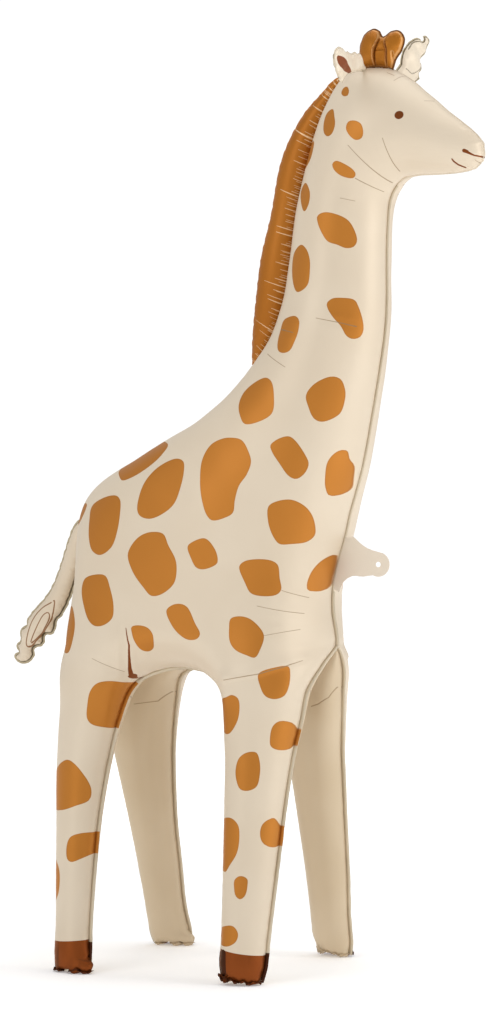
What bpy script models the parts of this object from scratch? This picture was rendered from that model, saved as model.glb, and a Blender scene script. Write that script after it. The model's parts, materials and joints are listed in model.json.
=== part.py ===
"""A giraffe balloon in foil that stands on its own four feet, filled with air.

Metres, +Z up. The giraffe looks along +X, and its two halves mirror each other across the plane Y = 0,
where the long weld of neck, head and trunk runs. The origin lies on the floor under the middle of the
balloon. Every film panel is laid out flat first, as an outline seen from the side, and is then blown up:
the half thickness at a point of the panel follows a membrane fixed along its weld, so a long narrow panel
fills out to a round tube and a broad one to a cushion.

The outlines are free forms. They are given in thousandths of the full height, as (forward, up).
"""

import math

import bpy
import numpy as np
from mathutils.geometry import delaunay_2d_cdt

HEIGHT = 1.54
MIL = HEIGHT / 1000

# Where two pieces touch, this much air is left between their meshes.
CLEARANCE = 0.0004

# Head, from the top of the crown round the nose to the throat.
CROWN = ((125, 950), (141, 957), (162, 958), (180, 955), (195, 947))
FACE = ((205, 940), (215, 931), (228, 920.5), (241, 909), (257, 896.5), (270, 886))
NOSE = ((278.5, 877), (282, 869.5), (282.5, 862), (279, 852), (270, 846))
JAW = ((257, 843.5), (234, 842.5), (208, 842.5), (193, 840), (184.5, 833))

# Neck, from the top down: height, nape, front of the neck.
NECK = (
    (820, 74, 177),
    (790, 69, 173.5),
    (750, 64, 172.5),
    (713, 57, 172.5),
    (680, 46, 170.5),
    (643, 20, 165),
)
NAPE_TOP = ((84, 858), (92, 886), (101, 909), (109, 926), (117, 940))

# Trunk: the line of the back from the neck to the rump, and the chest from the neck down.
BACK = ((1, 621), (-17, 606), (-43, 588), (-80, 569.5), (-118, 548), (-142, 535.5), (-160, 525), (-181, 505),
        (-192, 480), (-196, 449), (-198, 414), (-201.5, 384))
CHEST = ((157, 598), (145.5, 540), (137, 510), (130.5, 489), (124, 462), (116, 435), (110, 408), (109.5, 383),
         (113, 362))

# The belly weld joins the inner panels of the legs. It runs level, from the rump to the chest.
BELLY_HEIGHT = 347.5
BELLY_BACK = -203.5
BELLY_FRONT = 114

# Legs, from the top down: height, back edge, front edge. The arch is the edge between the legs.
HIND_LEG = (
    (300, -193.5, -103.5),
    (265, -190, -113.5),
    (228, -186, -120),
    (187, -182, -124),
    (143, -177, -126),
    (96, -172, -125.5),
    (49, -167.5, -124.5),
    (9, -164, -121.5),
)
FRONT_LEG = (
    (300, 12.5, 100.5),
    (274, 18, 97.5),
    (245, 21.5, 93.5),
    (228, 23.5, 91.5),
    (187, 26.5, 89),
    (143, 29.5, 87),
    (96, 32.5, 85),
    (49, 35, 82.5),
    (12, 36.5, 81),
)
ARCH = ((-96.5, 309), (-86.5, 315), (-66, 321.5), (-43, 323), (-22, 320), (-3, 312))
THIGH_BACK = (-199.5, 328)
SHOULDER_FRONT = (109, 327)

# The foot of each leg is cut off flat by the floor, this far above the lowest point of its outline.
FOOT_DEPTH = 7.5
FOOT_CORNER = 0.14

# The weld round each leg leans out from the middle of the balloon: height, distance from Y = 0.
WELD_SPLAY = ((-20, 120), (0, 116), (49, 105.5), (96, 97.3), (143, 88), (187, 79), (228, 69.5), (265, 61),
              (302, 50), (327, 28), (347.5, 0))
# Deep inside the outer panel the film passes the top of the leg in one soft sweep instead.
FILM_SPLAY = ((-20, 120), (0, 116), (49, 105.5), (96, 97.3), (143, 88), (187, 79), (228, 69), (265, 57.5),
              (300, 43), (335, 27), (370, 13), (405, 4.5), (440, 0), (1000, 0))
# The edges under the belly stand further out than those at rump and chest: each leg is turned a little.
LEG_TURN = 0.18
LEG_REACH = 103
ARCH_MIDDLE = -42
TURN_FADE = (265, 347.5)
SPLAY_DEPTH = 0.030
# Near the belly weld the inner panel may bulge over this share of the way to the middle, no more.
INNER_REACH = 0.62

# A broad cushion fills out less than a tube does: its half thickness is cut back by this share.
CUSHION_CUT = 0.15
CUSHION_FROM = 0.090
CUSHION_FULL = 0.170

# Spacing of the mesh, and its rings inside every weld.
BODY_STEP = 0.025
BODY_RINGS = (0.003, 0.011, 0.024)
SMALL_RINGS = (0.0015, 0.006)
SOLVE_STEP = 0.009

# Mane: a pouch welded along the nape. Outer edge from the tip on the back up to the ears.
MANE_OUTER = ((14, 648), (14.5, 676), (19, 722), (25, 764), (36.5, 808), (46.5, 858), (56.5, 884), (76, 915),
              (97, 935), (111, 946.5))
MANE_ROOT = ((21, 645), (120, 944))
MANE_STEP = 0.020
MANE_FULLNESS = 0.85

# Horns: one pouch with two knobs, a shallow groove down its middle, standing on the weld of the crown.
HORNS = ((143.5, 967), (142, 984), (147, 995), (157, 1000), (164, 997), (168, 991), (176, 995.5),
         (185, 996.5), (191, 992), (193, 985), (190, 975), (183, 965))
HORN_ROOT = ((144, 957.5), (181, 955))
HORN_STEP = 0.012
HORN_GROOVE_AT = 166.5
HORN_GROOVE_WIDTH = 6.0
HORN_GROOVE_DEPTH = 0.55
HORN_FULLNESS = 0.95

# Tail: a slim pouch that hangs from the weld of the rump and ends in a tuft.
TAIL = ((-199, 436), (-203, 414), (-209, 393), (-221, 374), (-230, 363), (-240, 353), (-243, 343), (-254, 337),
        (-256, 327), (-271, 323), (-279, 330), (-278, 341), (-273, 355), (-266, 364), (-258, 374), (-246, 389),
        (-233, 406), (-222, 427), (-212, 457), (-201, 475))
TAIL_ROOT = ((-194.5, 447), (-190.5, 477))
TAIL_STEP = 0.018
TAIL_FULLNESS = 0.80

# Ears: a pouch each, in an upright plane that leaves the head sideways. The outline is given in that
# plane, as (away from its start, up); the start is (forward, sideways) and the heading its direction.
# The root of an ear follows the side of the head between two heights.
RIGHT_EAR = ((-3, 958), (-1, 963), (4, 969), (23, 966), (42, 965), (59, 967), (67, 961), (69, 952), (66, 943),
             (60, 936), (51, 932), (40, 936), (22, 938))
RIGHT_EAR_START = (0.2478, -0.0600)
RIGHT_EAR_HEADING = (0.0, -1.0)
RIGHT_EAR_ROOT = (930, 946)
LEFT_EAR = ((9, 962), (16, 974), (22, 983), (29, 991), (42, 997.5), (51, 997), (59, 999.5), (64, 995),
            (58, 986), (52, 972), (48, 962), (38, 950), (22, 943))
LEFT_EAR_START = (0.2478, 0.0600)
LEFT_EAR_HEADING = (0.25, 0.968)
LEFT_EAR_ROOT = (930, 946)
EAR_STEP = 0.012
EAR_FULLNESS = 0.35

# Filling tab: two films welded flat, with a round hole, on the weld of the chest.
TAB_EDGE = ((134, 463), (142, 456), (150, 451), (162, 447))
TAB_UNDER = ((153, 422.5), (145, 421), (132, 421.5), (122, 415), (117, 404))
TAB_ROOT = ((125.5, 464), (112.5, 404))
TAB_CENTRE = (162.3, 434)
TAB_RADIUS = 0.0200
TAB_THICKNESS = 0.0012
HOLE_RADIUS = 0.0045
HOLE_SIDES = 20

CREAM = (0.80, 0.70, 0.56)
ORANGE = (0.42, 0.16, 0.03)


def smooth_line(points, step, closed=True):
    """A centripetal Catmull-Rom line through the points, sampled about every step."""
    points = np.asarray(points, float)
    count = len(points)
    line = []
    for i in range(count if closed else count - 1):
        if closed:
            a, b, c, d = (points[(i + k) % count] for k in (-1, 0, 1, 2))
        else:
            b, c = points[i], points[i + 1]
            a = points[i - 1] if i > 0 else 2 * b - c
            d = points[i + 2] if i + 2 < count else 2 * c - b
        t1 = math.sqrt(np.linalg.norm(b - a))
        t2 = t1 + math.sqrt(np.linalg.norm(c - b))
        t3 = t2 + math.sqrt(np.linalg.norm(d - c))
        pieces = max(1, round(np.linalg.norm(c - b) / step))
        for k in range(pieces):
            t = t1 + (t2 - t1) * k / pieces
            ab = (a * (t1 - t) + b * t) / t1
            bc = (b * (t2 - t) + c * (t - t1)) / (t2 - t1)
            cd = (c * (t3 - t) + d * (t - t2)) / (t3 - t2)
            abc = (ab * (t2 - t) + bc * t) / t2
            bcd = (bc * (t3 - t) + cd * (t - t1)) / (t3 - t1)
            line.append((abc * (t2 - t) + bcd * (t - t1)) / (t2 - t1))
    if not closed:
        line.append(points[-1])
    return np.array(line)


def body_outline():
    """The control points of the side panel, from the back of the crown round by the nose, in metres."""
    feet = []
    for leg in (FRONT_LEG, HIND_LEG):
        back, front = leg[-1][1:]
        corner = FOOT_CORNER * (front - back)
        low = -FOOT_DEPTH
        feet.append(((front - corner, 0.55 * low), ((back + front) / 2, low), (back + corner, 0.55 * low)))
    points = [*CROWN, *FACE, *NOSE, *JAW]
    points += [(front, up) for up, _, front in NECK]
    points += [*CHEST, (BELLY_FRONT, BELLY_HEIGHT), SHOULDER_FRONT]
    points += [(front, up) for up, _, front in FRONT_LEG]
    points += feet[0]
    points += [(back, up) for up, back, _ in reversed(FRONT_LEG)]
    points += list(reversed(ARCH))
    points += [(front, up) for up, _, front in HIND_LEG]
    points += feet[1]
    points += [(back, up) for up, back, _ in reversed(HIND_LEG)]
    points += [THIGH_BACK, (BELLY_BACK, BELLY_HEIGHT)]
    points += list(reversed(BACK))
    points += [(back, up) for up, back, _ in reversed(NECK)]
    points += list(NAPE_TOP)
    return np.array(points) * MIL


def edge_distance(outline, points):
    """How far each point lies from a closed outline."""
    start = outline
    along = np.roll(outline, -1, axis=0) - start
    length2 = np.maximum((along**2).sum(1), 1e-18)
    nearest = np.empty(len(points))
    for low in range(0, len(points), 2000):
        part = points[low:low + 2000, None, :] - start[None]
        share = np.clip((part * along).sum(2) / length2, 0, 1)
        nearest[low:low + 2000] = np.sqrt(((part - share[..., None] * along) ** 2).sum(2).min(1))
    return nearest


def inside(outline, points):
    """Which of the points lie within a closed outline."""
    hit = np.zeros(len(points), bool)
    for a, b in zip(outline, np.roll(outline, -1, axis=0)):
        if a[1] == b[1]:
            continue
        between = (points[:, 1] < a[1]) != (points[:, 1] < b[1])
        hit ^= between & (points[:, 0] < a[0] + (points[:, 1] - a[1]) * (b[0] - a[0]) / (b[1] - a[1]))
    return hit


def grid_points(outline, step, margin):
    """A triangular grid of points within the outline, at least a margin away from it."""
    low = outline.min(0)
    high = outline.max(0)
    rows = np.arange(low[1], high[1], step * math.sqrt(0.75))
    points = [(x + (k % 2) * step / 2, z) for k, z in enumerate(rows) for x in np.arange(low[0], high[0], step)]
    points = np.array(points)
    points = points[inside(outline, points)]
    return points[edge_distance(outline, points) > margin]


def ring_points(outline, rings, step):
    """Points in rows inside the outline, row by row at the distances given."""
    tangent = np.roll(outline, -1, axis=0) - np.roll(outline, 1, axis=0)
    tangent /= np.linalg.norm(tangent, axis=1)[:, None]
    inward = np.stack([-tangent[:, 1], tangent[:, 0]], axis=1)
    if not inside(outline, outline + inward * 1e-4).mean() > 0.5:
        inward = -inward
    kept = []
    for number, depth in enumerate(rings):
        row = outline + inward * depth
        row = row[inside(outline, row)]
        row = row[edge_distance(outline, row) > 0.97 * depth]
        apart = min(step, max(0.45 * step, depth)) * (0.0 if number == 0 else 0.6)
        for point in row:
            if all((point - other) @ (point - other) > apart**2 for other in kept[-400:]):
                kept.append(point)
    return np.array(kept)


def fill(outline, inner):
    """Triangles over a closed outline and the loose points within it. The outline's points come first."""
    points = np.vstack([outline, inner])
    count = len(outline)
    result = delaunay_2d_cdt([tuple(p) for p in points], [], [list(range(count))], 1, 1e-7, True)
    place = {}
    for number, origins in enumerate(result[3]):
        for origin in origins:
            place.setdefault(number, origin)
    faces = np.array([[place[v] for v in face] for face in result[2]])
    a, b, c = (points[faces[:, k]] for k in range(3))
    turn = (b[:, 0] - a[:, 0]) * (c[:, 1] - a[:, 1]) - (b[:, 1] - a[:, 1]) * (c[:, 0] - a[:, 0])
    faces[turn < 0] = faces[turn < 0][:, ::-1]
    return points, faces[inside(outline, (a + b + c) / 3) & (np.abs(turn) > 1e-10)]


def membrane(points, faces, fixed):
    """The height of a membrane under even pressure, held at zero on the first points of the mesh."""
    corner = [points[faces[:, k]] for k in range(3)]
    side = [corner[(k + 2) % 3] - corner[(k + 1) % 3] for k in range(3)]
    area = 0.5 * np.abs(side[0][:, 0] * side[1][:, 1] - side[0][:, 1] * side[1][:, 0])
    start = np.concatenate([faces[:, 1], faces[:, 2], faces[:, 0]])
    end = np.concatenate([faces[:, 2], faces[:, 0], faces[:, 1]])
    pull = np.concatenate([-(side[(k + 1) % 3] * side[(k + 2) % 3]).sum(1) / (4 * area) for k in range(3)])
    count = len(points)
    load = np.bincount(faces.ravel(), np.repeat(area / 3, 3), count)
    load[:fixed] = 0

    def stiffness(x):
        flow = pull * (x[start] - x[end])
        out = np.bincount(start, flow, count) - np.bincount(end, flow, count)
        out[:fixed] = 0
        return out

    weight = np.bincount(start, pull, count) + np.bincount(end, pull, count)
    weight[:fixed] = 1
    weight[weight <= 0] = 1
    x = np.zeros(count)
    rest = load.copy()
    scaled = rest / weight
    search = scaled.copy()
    energy = rest @ scaled
    first = energy
    for _ in range(4000):
        moved = stiffness(search)
        stride = energy / (search @ moved)
        x += stride * search
        rest -= stride * moved
        scaled = rest / weight
        fresh = rest @ scaled
        if fresh < 1e-14 * first:
            break
        search = scaled + search * (fresh / energy)
        energy = fresh
    return np.maximum(x, 0)


def divided(outline, step):
    """A closed outline with its straight stretches cut into pieces of about a step."""
    line = []
    for a, b in zip(outline, np.roll(outline, -1, axis=0)):
        pieces = max(1, round(np.linalg.norm(b - a) / step))
        line += [a + (b - a) * k / pieces for k in range(pieces)]
    return np.array(line)


def half_thickness(outline, points):
    """The blown-up half thickness at points within an outline, worked out on a finer mesh that holds them."""
    loose = grid_points(outline, SOLVE_STEP, 0.4 * SOLVE_STEP)
    depth = edge_distance(outline, points)
    free = depth > 0.25 * SMALL_RINGS[0]
    deep, copies = np.unique(np.round(points[free], 7), axis=0, return_inverse=True)
    mesh_points, faces = fill(outline, np.vstack([deep, loose]))
    height = membrane(mesh_points, faces, len(outline))
    thickness = np.zeros(len(points))
    thickness[free] = np.sqrt(2 * height[len(outline) + copies.ravel()])
    return thickness


def cushion(thickness):
    share = np.clip((thickness - CUSHION_FROM) / (CUSHION_FULL - CUSHION_FROM), 0, 1)
    return thickness * (1 - CUSHION_CUT * share * share * (3 - 2 * share))


def splay(table, up):
    """Distance from the middle plane at a height, from a table in thousandths."""
    line = smooth_line(np.array(sorted(table)) * MIL, 0.004, closed=False)
    return np.interp(up, line[:, 0], line[:, 1])


def leg_turn(points):
    """What the turn of the legs adds to the splay, at points of the side view."""
    fade = np.clip((TURN_FADE[1] * MIL - points[:, 1]) / ((TURN_FADE[1] - TURN_FADE[0]) * MIL), 0, 1)
    spread = np.hypot(points[:, 0] - ARCH_MIDDLE * MIL, 0.02) - LEG_REACH * MIL
    return -LEG_TURN * spread * fade * fade * (3 - 2 * fade)


def make_object(name, points, faces, material, collection):
    mesh = bpy.data.meshes.new(name)
    mesh.from_pydata([tuple(p) for p in points], [], [tuple(int(v) for v in face) for face in faces])
    mesh.materials.append(material)
    mesh.update()
    thing = bpy.data.objects.new(name, mesh)
    collection.objects.link(thing)
    return thing


def foil(name, colour):
    material = bpy.data.materials.new(name)
    material.use_nodes = True
    shader = material.node_tree.nodes["Principled BSDF"]
    shader.inputs["Base Color"].default_value = (*colour, 1)
    shader.inputs["Metallic"].default_value = 0.3
    shader.inputs["Roughness"].default_value = 0.4
    return material


def body_mesh():
    """Two outer panels and two inner leg panels, welded along shared points."""
    controls = body_outline()
    outline = smooth_line(controls, 0.7 * BODY_STEP)
    rings = ring_points(outline, BODY_RINGS, BODY_STEP)
    grid = grid_points(outline, BODY_STEP, BODY_RINGS[-1] + 0.55 * BODY_STEP)
    flat, outer_faces = fill(outline, np.vstack([rings, grid]))

    belly = BELLY_HEIGHT * MIL
    below = outline[:, 1] < belly - 1e-9
    ends = [k for k in range(len(outline)) if abs(outline[k, 1] - belly) <= 1e-9]
    front, back = min(ends), max(ends)
    across = np.linspace(outline[back], outline[front], round((outline[front, 0] - outline[back, 0]) / BODY_STEP))
    ring = np.vstack([outline[front:back + 1], across[1:-1]])
    low = np.vstack([rings, grid])
    low = low[low[:, 1] < belly - 0.3 * BODY_STEP]
    low_flat, inner_faces = fill(ring, low)

    every = np.vstack([flat, low_flat])
    thickness = cushion(half_thickness(smooth_line(controls, SOLVE_STEP), every))
    thickness[:len(outline)] = 0
    outer_thick = thickness[:len(flat)]
    inner_thick = thickness[len(flat):]
    inner_thick[:back - front + 1] = 0

    depth = edge_distance(outline, flat)
    turned = leg_turn(flat)
    weld = (splay(WELD_SPLAY, flat[:, 1]) + turned) * (flat[:, 1] < belly - 1e-9)
    film = splay(FILM_SPLAY, flat[:, 1]) + turned
    blend = 1 - np.exp(-((depth / SPLAY_DEPTH) ** 2))
    reach = weld + (film - weld) * blend + outer_thick

    inner_weld = (splay(WELD_SPLAY, low_flat[:, 1]) + leg_turn(low_flat)) * (low_flat[:, 1] < belly - 1e-9)
    limit = np.maximum(INNER_REACH * inner_weld, 1e-9)
    soft = (np.maximum(inner_thick, 1e-9) ** -4 + limit**-4) ** -0.25
    soft[inner_thick <= 0] = 0
    inner_reach = inner_weld - soft

    points = []
    faces = []
    keys = {}

    def place(kind, number, x, y, z):
        key = (kind, number)
        if key not in keys:
            keys[key] = len(points)
            points.append((x, y, max(z, 0.0)))
        return keys[key]

    def outer_vertex(side, number):
        x, z = flat[number]
        if number < len(outline):
            kind = side if below[number] else 0
            return place(("rim", kind), number, x, side * reach[number], z)
        return place(("outer", side), number, x, side * reach[number], z)

    def inner_vertex(side, number):
        rim = back - front + 1
        if number < rim:
            return outer_vertex(side, number + front)
        x, z = low_flat[number]
        if number < len(ring):
            return place(("belly", 0), number, x, 0.0, z)
        return place(("inner", side), number, x, side * inner_reach[number], z)

    for a, b, c in outer_faces:
        faces.append([outer_vertex(-1, v) for v in (a, b, c)])
        faces.append([outer_vertex(1, v) for v in (c, b, a)])
    for a, b, c in inner_faces:
        faces.append([inner_vertex(-1, v) for v in (c, b, a)])
        faces.append([inner_vertex(1, v) for v in (a, b, c)])
    return points, faces


def pouch(outline, step, fullness, place, groove=None):
    """A small flat bag blown up on both sides of its own plane; place turns (along, up, out) into a point."""
    rings = ring_points(outline, SMALL_RINGS, step)
    grid = grid_points(outline, step, SMALL_RINGS[-1] + 0.5 * step)
    flat, panel = fill(outline, np.vstack([rings, grid]) if len(grid) else rings)
    thickness = half_thickness(divided(outline, SOLVE_STEP), flat) * fullness
    thickness[:len(outline)] = 0
    if groove is not None:
        thickness *= groove(flat)
    rim = len(outline)
    panel = panel[panel.max(1) >= rim]
    count = len(flat)
    points = [place(x, z, -t) for (x, z), t in zip(flat, thickness)]
    points += [place(x, z, t) for (x, z), t in zip(flat[rim:], thickness[rim:])]
    faces = []
    for a, b, c in panel:
        faces.append([a, b, c])
        faces.append([v if v < rim else v + count - rim for v in (c, b, a)])
    return points, faces


def in_middle(x, z, out):
    return (x, out, z)


def in_plane(root, heading):
    length = math.hypot(*heading)
    along = (heading[0] / length, heading[1] / length)

    def place(x, z, out):
        return (root[0] + along[0] * x - along[1] * out, root[1] + along[1] * x + along[0] * out, z)

    return place


def weld_run(ends, step):
    """The body's weld from one point to the next, going round by the nose, the feet and the tail, held clear."""
    line = smooth_line(body_outline(), step)
    first, last = (int(np.argmin(((line - np.array(end) * MIL) ** 2).sum(1))) for end in ends)
    if last < first:
        last += len(line)
    run = line[np.arange(first, last + 1) % len(line)]
    tangent = np.gradient(run, axis=0)
    tangent /= np.linalg.norm(tangent, axis=1)[:, None]
    return run + 1.3 * CLEARANCE * np.stack([-tangent[:, 1], tangent[:, 0]], axis=1)


def rooted(outline, ends, step):
    """A smooth outline closed along the body's weld."""
    free = smooth_line(np.array(outline) * MIL, 0.7 * step, closed=False)
    return np.vstack([free, weld_run(ends, 0.7 * step)[::-1]])


def ear_outline(outline, start, heading, root):
    """An ear's smooth outline closed along the side of the head, where the ear's plane meets it."""
    length = math.hypot(*heading)
    ups = np.linspace(*root, 4) * MIL
    away = np.linspace(-0.045, 0.030, 40)
    forward = start[0] + away * heading[0] / length
    aside = abs(start[1]) + away * abs(heading[1]) / length
    points = np.array([(x, up) for up in ups for x in forward])
    head = cushion(half_thickness(smooth_line(body_outline(), SOLVE_STEP), points)).reshape(len(ups), -1)
    edge = [(np.interp(0.0, aside - row, away) + 2 * CLEARANCE, up) for row, up in zip(head, ups)]
    free = smooth_line(np.array(outline) * MIL, 0.7 * EAR_STEP, closed=False)
    return np.vstack([free, edge])


def horn_groove(flat):
    off = (flat[:, 0] / MIL - HORN_GROOVE_AT) / HORN_GROOVE_WIDTH
    return 1 - HORN_GROOVE_DEPTH * np.exp(-(off**2))


def tab_mesh():
    """A flat plate with a round hole, its foot held clear of the weld of the chest."""
    foot = weld_run(TAB_ROOT, 0.012)[::-1]
    centre = np.array(TAB_CENTRE) * MIL
    turn = np.radians(np.linspace(84, -118, 15))
    nose = centre + TAB_RADIUS * np.stack([np.cos(turn), np.sin(turn)], axis=1)
    edge = smooth_line(np.array(TAB_EDGE) * MIL, 0.008, closed=False)
    under = smooth_line(np.array(TAB_UNDER) * MIL, 0.008, closed=False)
    outline = np.vstack([edge[:-1], nose, under[1:], foot])
    angle = np.arange(HOLE_SIDES) * 2 * math.pi / HOLE_SIDES
    hole = centre + HOLE_RADIUS * np.stack([np.cos(angle), np.sin(angle)], axis=1)
    flat, panel = fill(outline, hole)
    middle = flat[panel].mean(1)
    panel = panel[np.linalg.norm(middle - centre, axis=1) > HOLE_RADIUS]
    count = len(flat)
    half = TAB_THICKNESS / 2
    points = [(x, -half, z) for x, z in flat] + [(x, half, z) for x, z in flat]
    faces = [[a, b, c] for a, b, c in panel] + [[c + count, b + count, a + count] for a, b, c in panel]
    turns = (panel[:, [0, 1]], panel[:, [1, 2]], panel[:, [2, 0]])
    sides = {(int(a), int(b)) for turn_pairs in turns for a, b in turn_pairs}
    for a, b in sorted(sides):
        if (b, a) not in sides:
            faces.append([b, a, a + count, b + count])
    return points, faces


def main():
    for thing in list(bpy.data.objects):
        bpy.data.objects.remove(thing, do_unlink=True)
    collection = bpy.data.collections.new("giraffe_foil_balloon")
    bpy.context.scene.collection.children.link(collection)

    make_object("body", *body_mesh(), foil("body_cream_foil", CREAM), collection)
    mane = pouch(rooted(MANE_OUTER, MANE_ROOT, MANE_STEP), MANE_STEP, MANE_FULLNESS, in_middle)
    make_object("mane", *mane, foil("mane_orange_foil", ORANGE), collection)
    horns = pouch(rooted(HORNS, HORN_ROOT, HORN_STEP), HORN_STEP, HORN_FULLNESS, in_middle, horn_groove)
    make_object("horns", *horns, foil("horns_orange_foil", ORANGE), collection)
    for name, outline, start, heading, root in (
        ("ear_right", RIGHT_EAR, RIGHT_EAR_START, RIGHT_EAR_HEADING, RIGHT_EAR_ROOT),
        ("ear_left", LEFT_EAR, LEFT_EAR_START, LEFT_EAR_HEADING, LEFT_EAR_ROOT),
    ):
        shape = ear_outline(outline, start, heading, root)
        ear = pouch(shape, EAR_STEP, EAR_FULLNESS, in_plane(start, heading))
        make_object(name, *ear, foil(name + "_cream_foil", CREAM), collection)
    tail = pouch(rooted(TAIL, TAIL_ROOT, TAIL_STEP), TAIL_STEP, TAIL_FULLNESS, in_middle)
    make_object("tail", *tail, foil("tail_cream_foil", CREAM), collection)
    make_object("valve_tab", *tab_mesh(), foil("valve_tab_cream_foil", CREAM), collection)


main()
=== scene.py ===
# %% [markdown]
# # A giraffe balloon in printed foil
#
# The real object is a bag of thin plastic film with a metal skin. Flat panels are printed, laid on each
# other and welded along their edges, and air then blows them up to round legs and a cushioned trunk. So
# this script works the same way: it draws flat panels, blows them up with a membrane, prints the spots
# and the face on them, and adds what the weld leaves, a thin fin all the way round.
#
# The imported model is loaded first. It says where every piece sits, and the pieces made here stand in
# for its plain solids.

import json
import math

import bmesh
import bpy
import numpy as np
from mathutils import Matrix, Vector
from mathutils.bvhtree import BVHTree
from mathutils.geometry import convex_hull_2d, delaunay_2d_cdt

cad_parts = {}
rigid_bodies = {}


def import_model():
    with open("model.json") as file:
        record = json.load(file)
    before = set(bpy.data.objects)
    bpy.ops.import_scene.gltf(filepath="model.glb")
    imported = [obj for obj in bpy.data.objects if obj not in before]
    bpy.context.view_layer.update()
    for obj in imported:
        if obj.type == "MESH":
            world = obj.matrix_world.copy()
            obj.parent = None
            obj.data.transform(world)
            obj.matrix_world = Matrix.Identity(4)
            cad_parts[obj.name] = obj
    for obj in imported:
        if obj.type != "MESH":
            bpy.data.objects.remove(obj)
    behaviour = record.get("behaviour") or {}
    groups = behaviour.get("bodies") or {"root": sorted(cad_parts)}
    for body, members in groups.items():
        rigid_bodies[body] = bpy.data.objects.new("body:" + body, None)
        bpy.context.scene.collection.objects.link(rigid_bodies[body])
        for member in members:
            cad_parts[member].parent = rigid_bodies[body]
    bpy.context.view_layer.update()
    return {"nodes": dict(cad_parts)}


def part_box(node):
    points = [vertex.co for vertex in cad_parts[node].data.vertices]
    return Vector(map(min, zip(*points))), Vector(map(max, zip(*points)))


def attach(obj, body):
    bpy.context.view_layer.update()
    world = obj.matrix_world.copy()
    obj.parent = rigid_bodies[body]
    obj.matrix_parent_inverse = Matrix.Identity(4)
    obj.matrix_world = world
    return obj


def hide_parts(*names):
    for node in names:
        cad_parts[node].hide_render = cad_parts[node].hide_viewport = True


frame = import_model()
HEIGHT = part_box("horns")[1].z
MIL = HEIGHT / 1000
print("frame:", sorted(frame["nodes"]), "height", round(HEIGHT, 3))

# %% [markdown]
# ## Camera
#
# The picture was taken with a long lens at chest height, turned a little towards the head, so the camera
# stands level and far away. A long lens keeps the legs from spreading apart in perspective.

# %% Camera
PICTURE_HEIGHT = 1024
PICTURE_MIDDLE = (249.5, 512)
SENSOR = 36.0
LENS_PIXELS = 3100.0
CAMERA_TURN = math.radians(26.04)
CAMERA_DISTANCE = 5.1412
CAMERA_HEIGHT = 0.7537
CAMERA_AIM = 0.017

camera_data = bpy.data.cameras.new("camera")
camera_data.sensor_width = SENSOR
camera_data.lens = LENS_PIXELS / PICTURE_HEIGHT * SENSOR
camera = bpy.data.objects.new("camera", camera_data)
bpy.context.scene.collection.objects.link(camera)
camera.location = (CAMERA_AIM + CAMERA_DISTANCE * math.sin(CAMERA_TURN),
                   -CAMERA_DISTANCE * math.cos(CAMERA_TURN), CAMERA_HEIGHT)
camera.rotation_euler = (math.pi / 2, 0, CAMERA_TURN)
bpy.context.scene.camera = camera
print("camera:", tuple(round(v, 3) for v in camera.location), "lens", round(camera_data.lens, 1), "mm")


def sight_line(pixel):
    """The direction in which the camera sees a pixel."""
    right = (pixel[0] - PICTURE_MIDDLE[0]) / LENS_PIXELS
    up = (PICTURE_MIDDLE[1] - pixel[1]) / LENS_PIXELS
    turn = CAMERA_TURN
    return Vector((-math.sin(turn) + right * math.cos(turn), math.cos(turn) + right * math.sin(turn), up))


# %% [markdown]
# ## Nodes in few words
#
# Materials and Geometry Nodes trees are wired in code. One call makes a node and feeds its sockets, each
# with a value or with the output of another node.

# %% Helpers for nodes
def feed(tree, socket, value):
    """Links an output of another node to a socket, or sets the socket to a value."""
    if isinstance(value, bpy.types.NodeSocket):
        tree.links.new(value, socket)
    else:
        socket.default_value = value


def feed_all(tree, target, sockets):
    """Feeds inputs of a node, each called by its name or its number."""
    for label, value in sockets.items():
        feed(tree, target.inputs[label], value)


def node(tree, kind, sockets=None, **settings):
    """A new node with its settings, and with its inputs fed."""
    made = tree.nodes.new(kind)
    for key, value in settings.items():
        setattr(made, key, value)
    feed_all(tree, made, sockets or {})
    return made


def maths(tree, operation, *values, clamp=False):
    sockets = dict(enumerate(values))
    return node(tree, "ShaderNodeMath", sockets, operation=operation, use_clamp=clamp).outputs[0]


def product(tree, first, second):
    return maths(tree, "MULTIPLY", first, second)


def greatest(tree, first, *others):
    for value in others:
        first = maths(tree, "MAXIMUM", first, value)
    return first


def vector_maths(tree, operation, *values):
    made = node(tree, "ShaderNodeVectorMath", dict(enumerate(values)), operation=operation)
    return made.outputs["Value" if operation in ("DOT_PRODUCT", "LENGTH") else "Vector"]


def scale_vector(tree, vector, share):
    return node(tree, "ShaderNodeVectorMath", {0: vector, "Scale": share}, operation="SCALE").outputs[0]


def smooth_step(tree, value, low, high):
    sockets = {"Value": value, "From Min": low, "From Max": high}
    return node(tree, "ShaderNodeMapRange", sockets, interpolation_type="SMOOTHSTEP").outputs["Result"]


def band(tree, value, rise, fall):
    """1 between two soft edges of a value, given as the steps up and down."""
    return product(tree, smooth_step(tree, value, *rise), smooth_step(tree, value, *fall))


def noise(tree, place, scale, **sockets):
    sockets.update(Vector=place, Scale=scale)
    return node(tree, "ShaderNodeTexNoise", sockets).outputs["Fac"]


def mix_colours(tree, factor, first, second):
    return node(tree, "ShaderNodeMix", {0: factor, 6: first, 7: second}, data_type="RGBA").outputs[2]


def object_place(tree):
    return node(tree, "ShaderNodeTexCoord").outputs["Object"]


def parts_of(tree, vector):
    return node(tree, "ShaderNodeSeparateXYZ", {0: vector}).outputs


# %% [markdown]
# ## Floor and light
#
# The balloon stands on a round white floor that glows a little, more towards its rim, so that it fades
# into the white sky without a line. One large soft lamp in front models the round forms, one at the
# side of the head lights the front of the neck, and one hangs above. The sky looks white to the camera,
# but gives less light than it shows, because foil mirrors whatever is bright around it.

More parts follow.
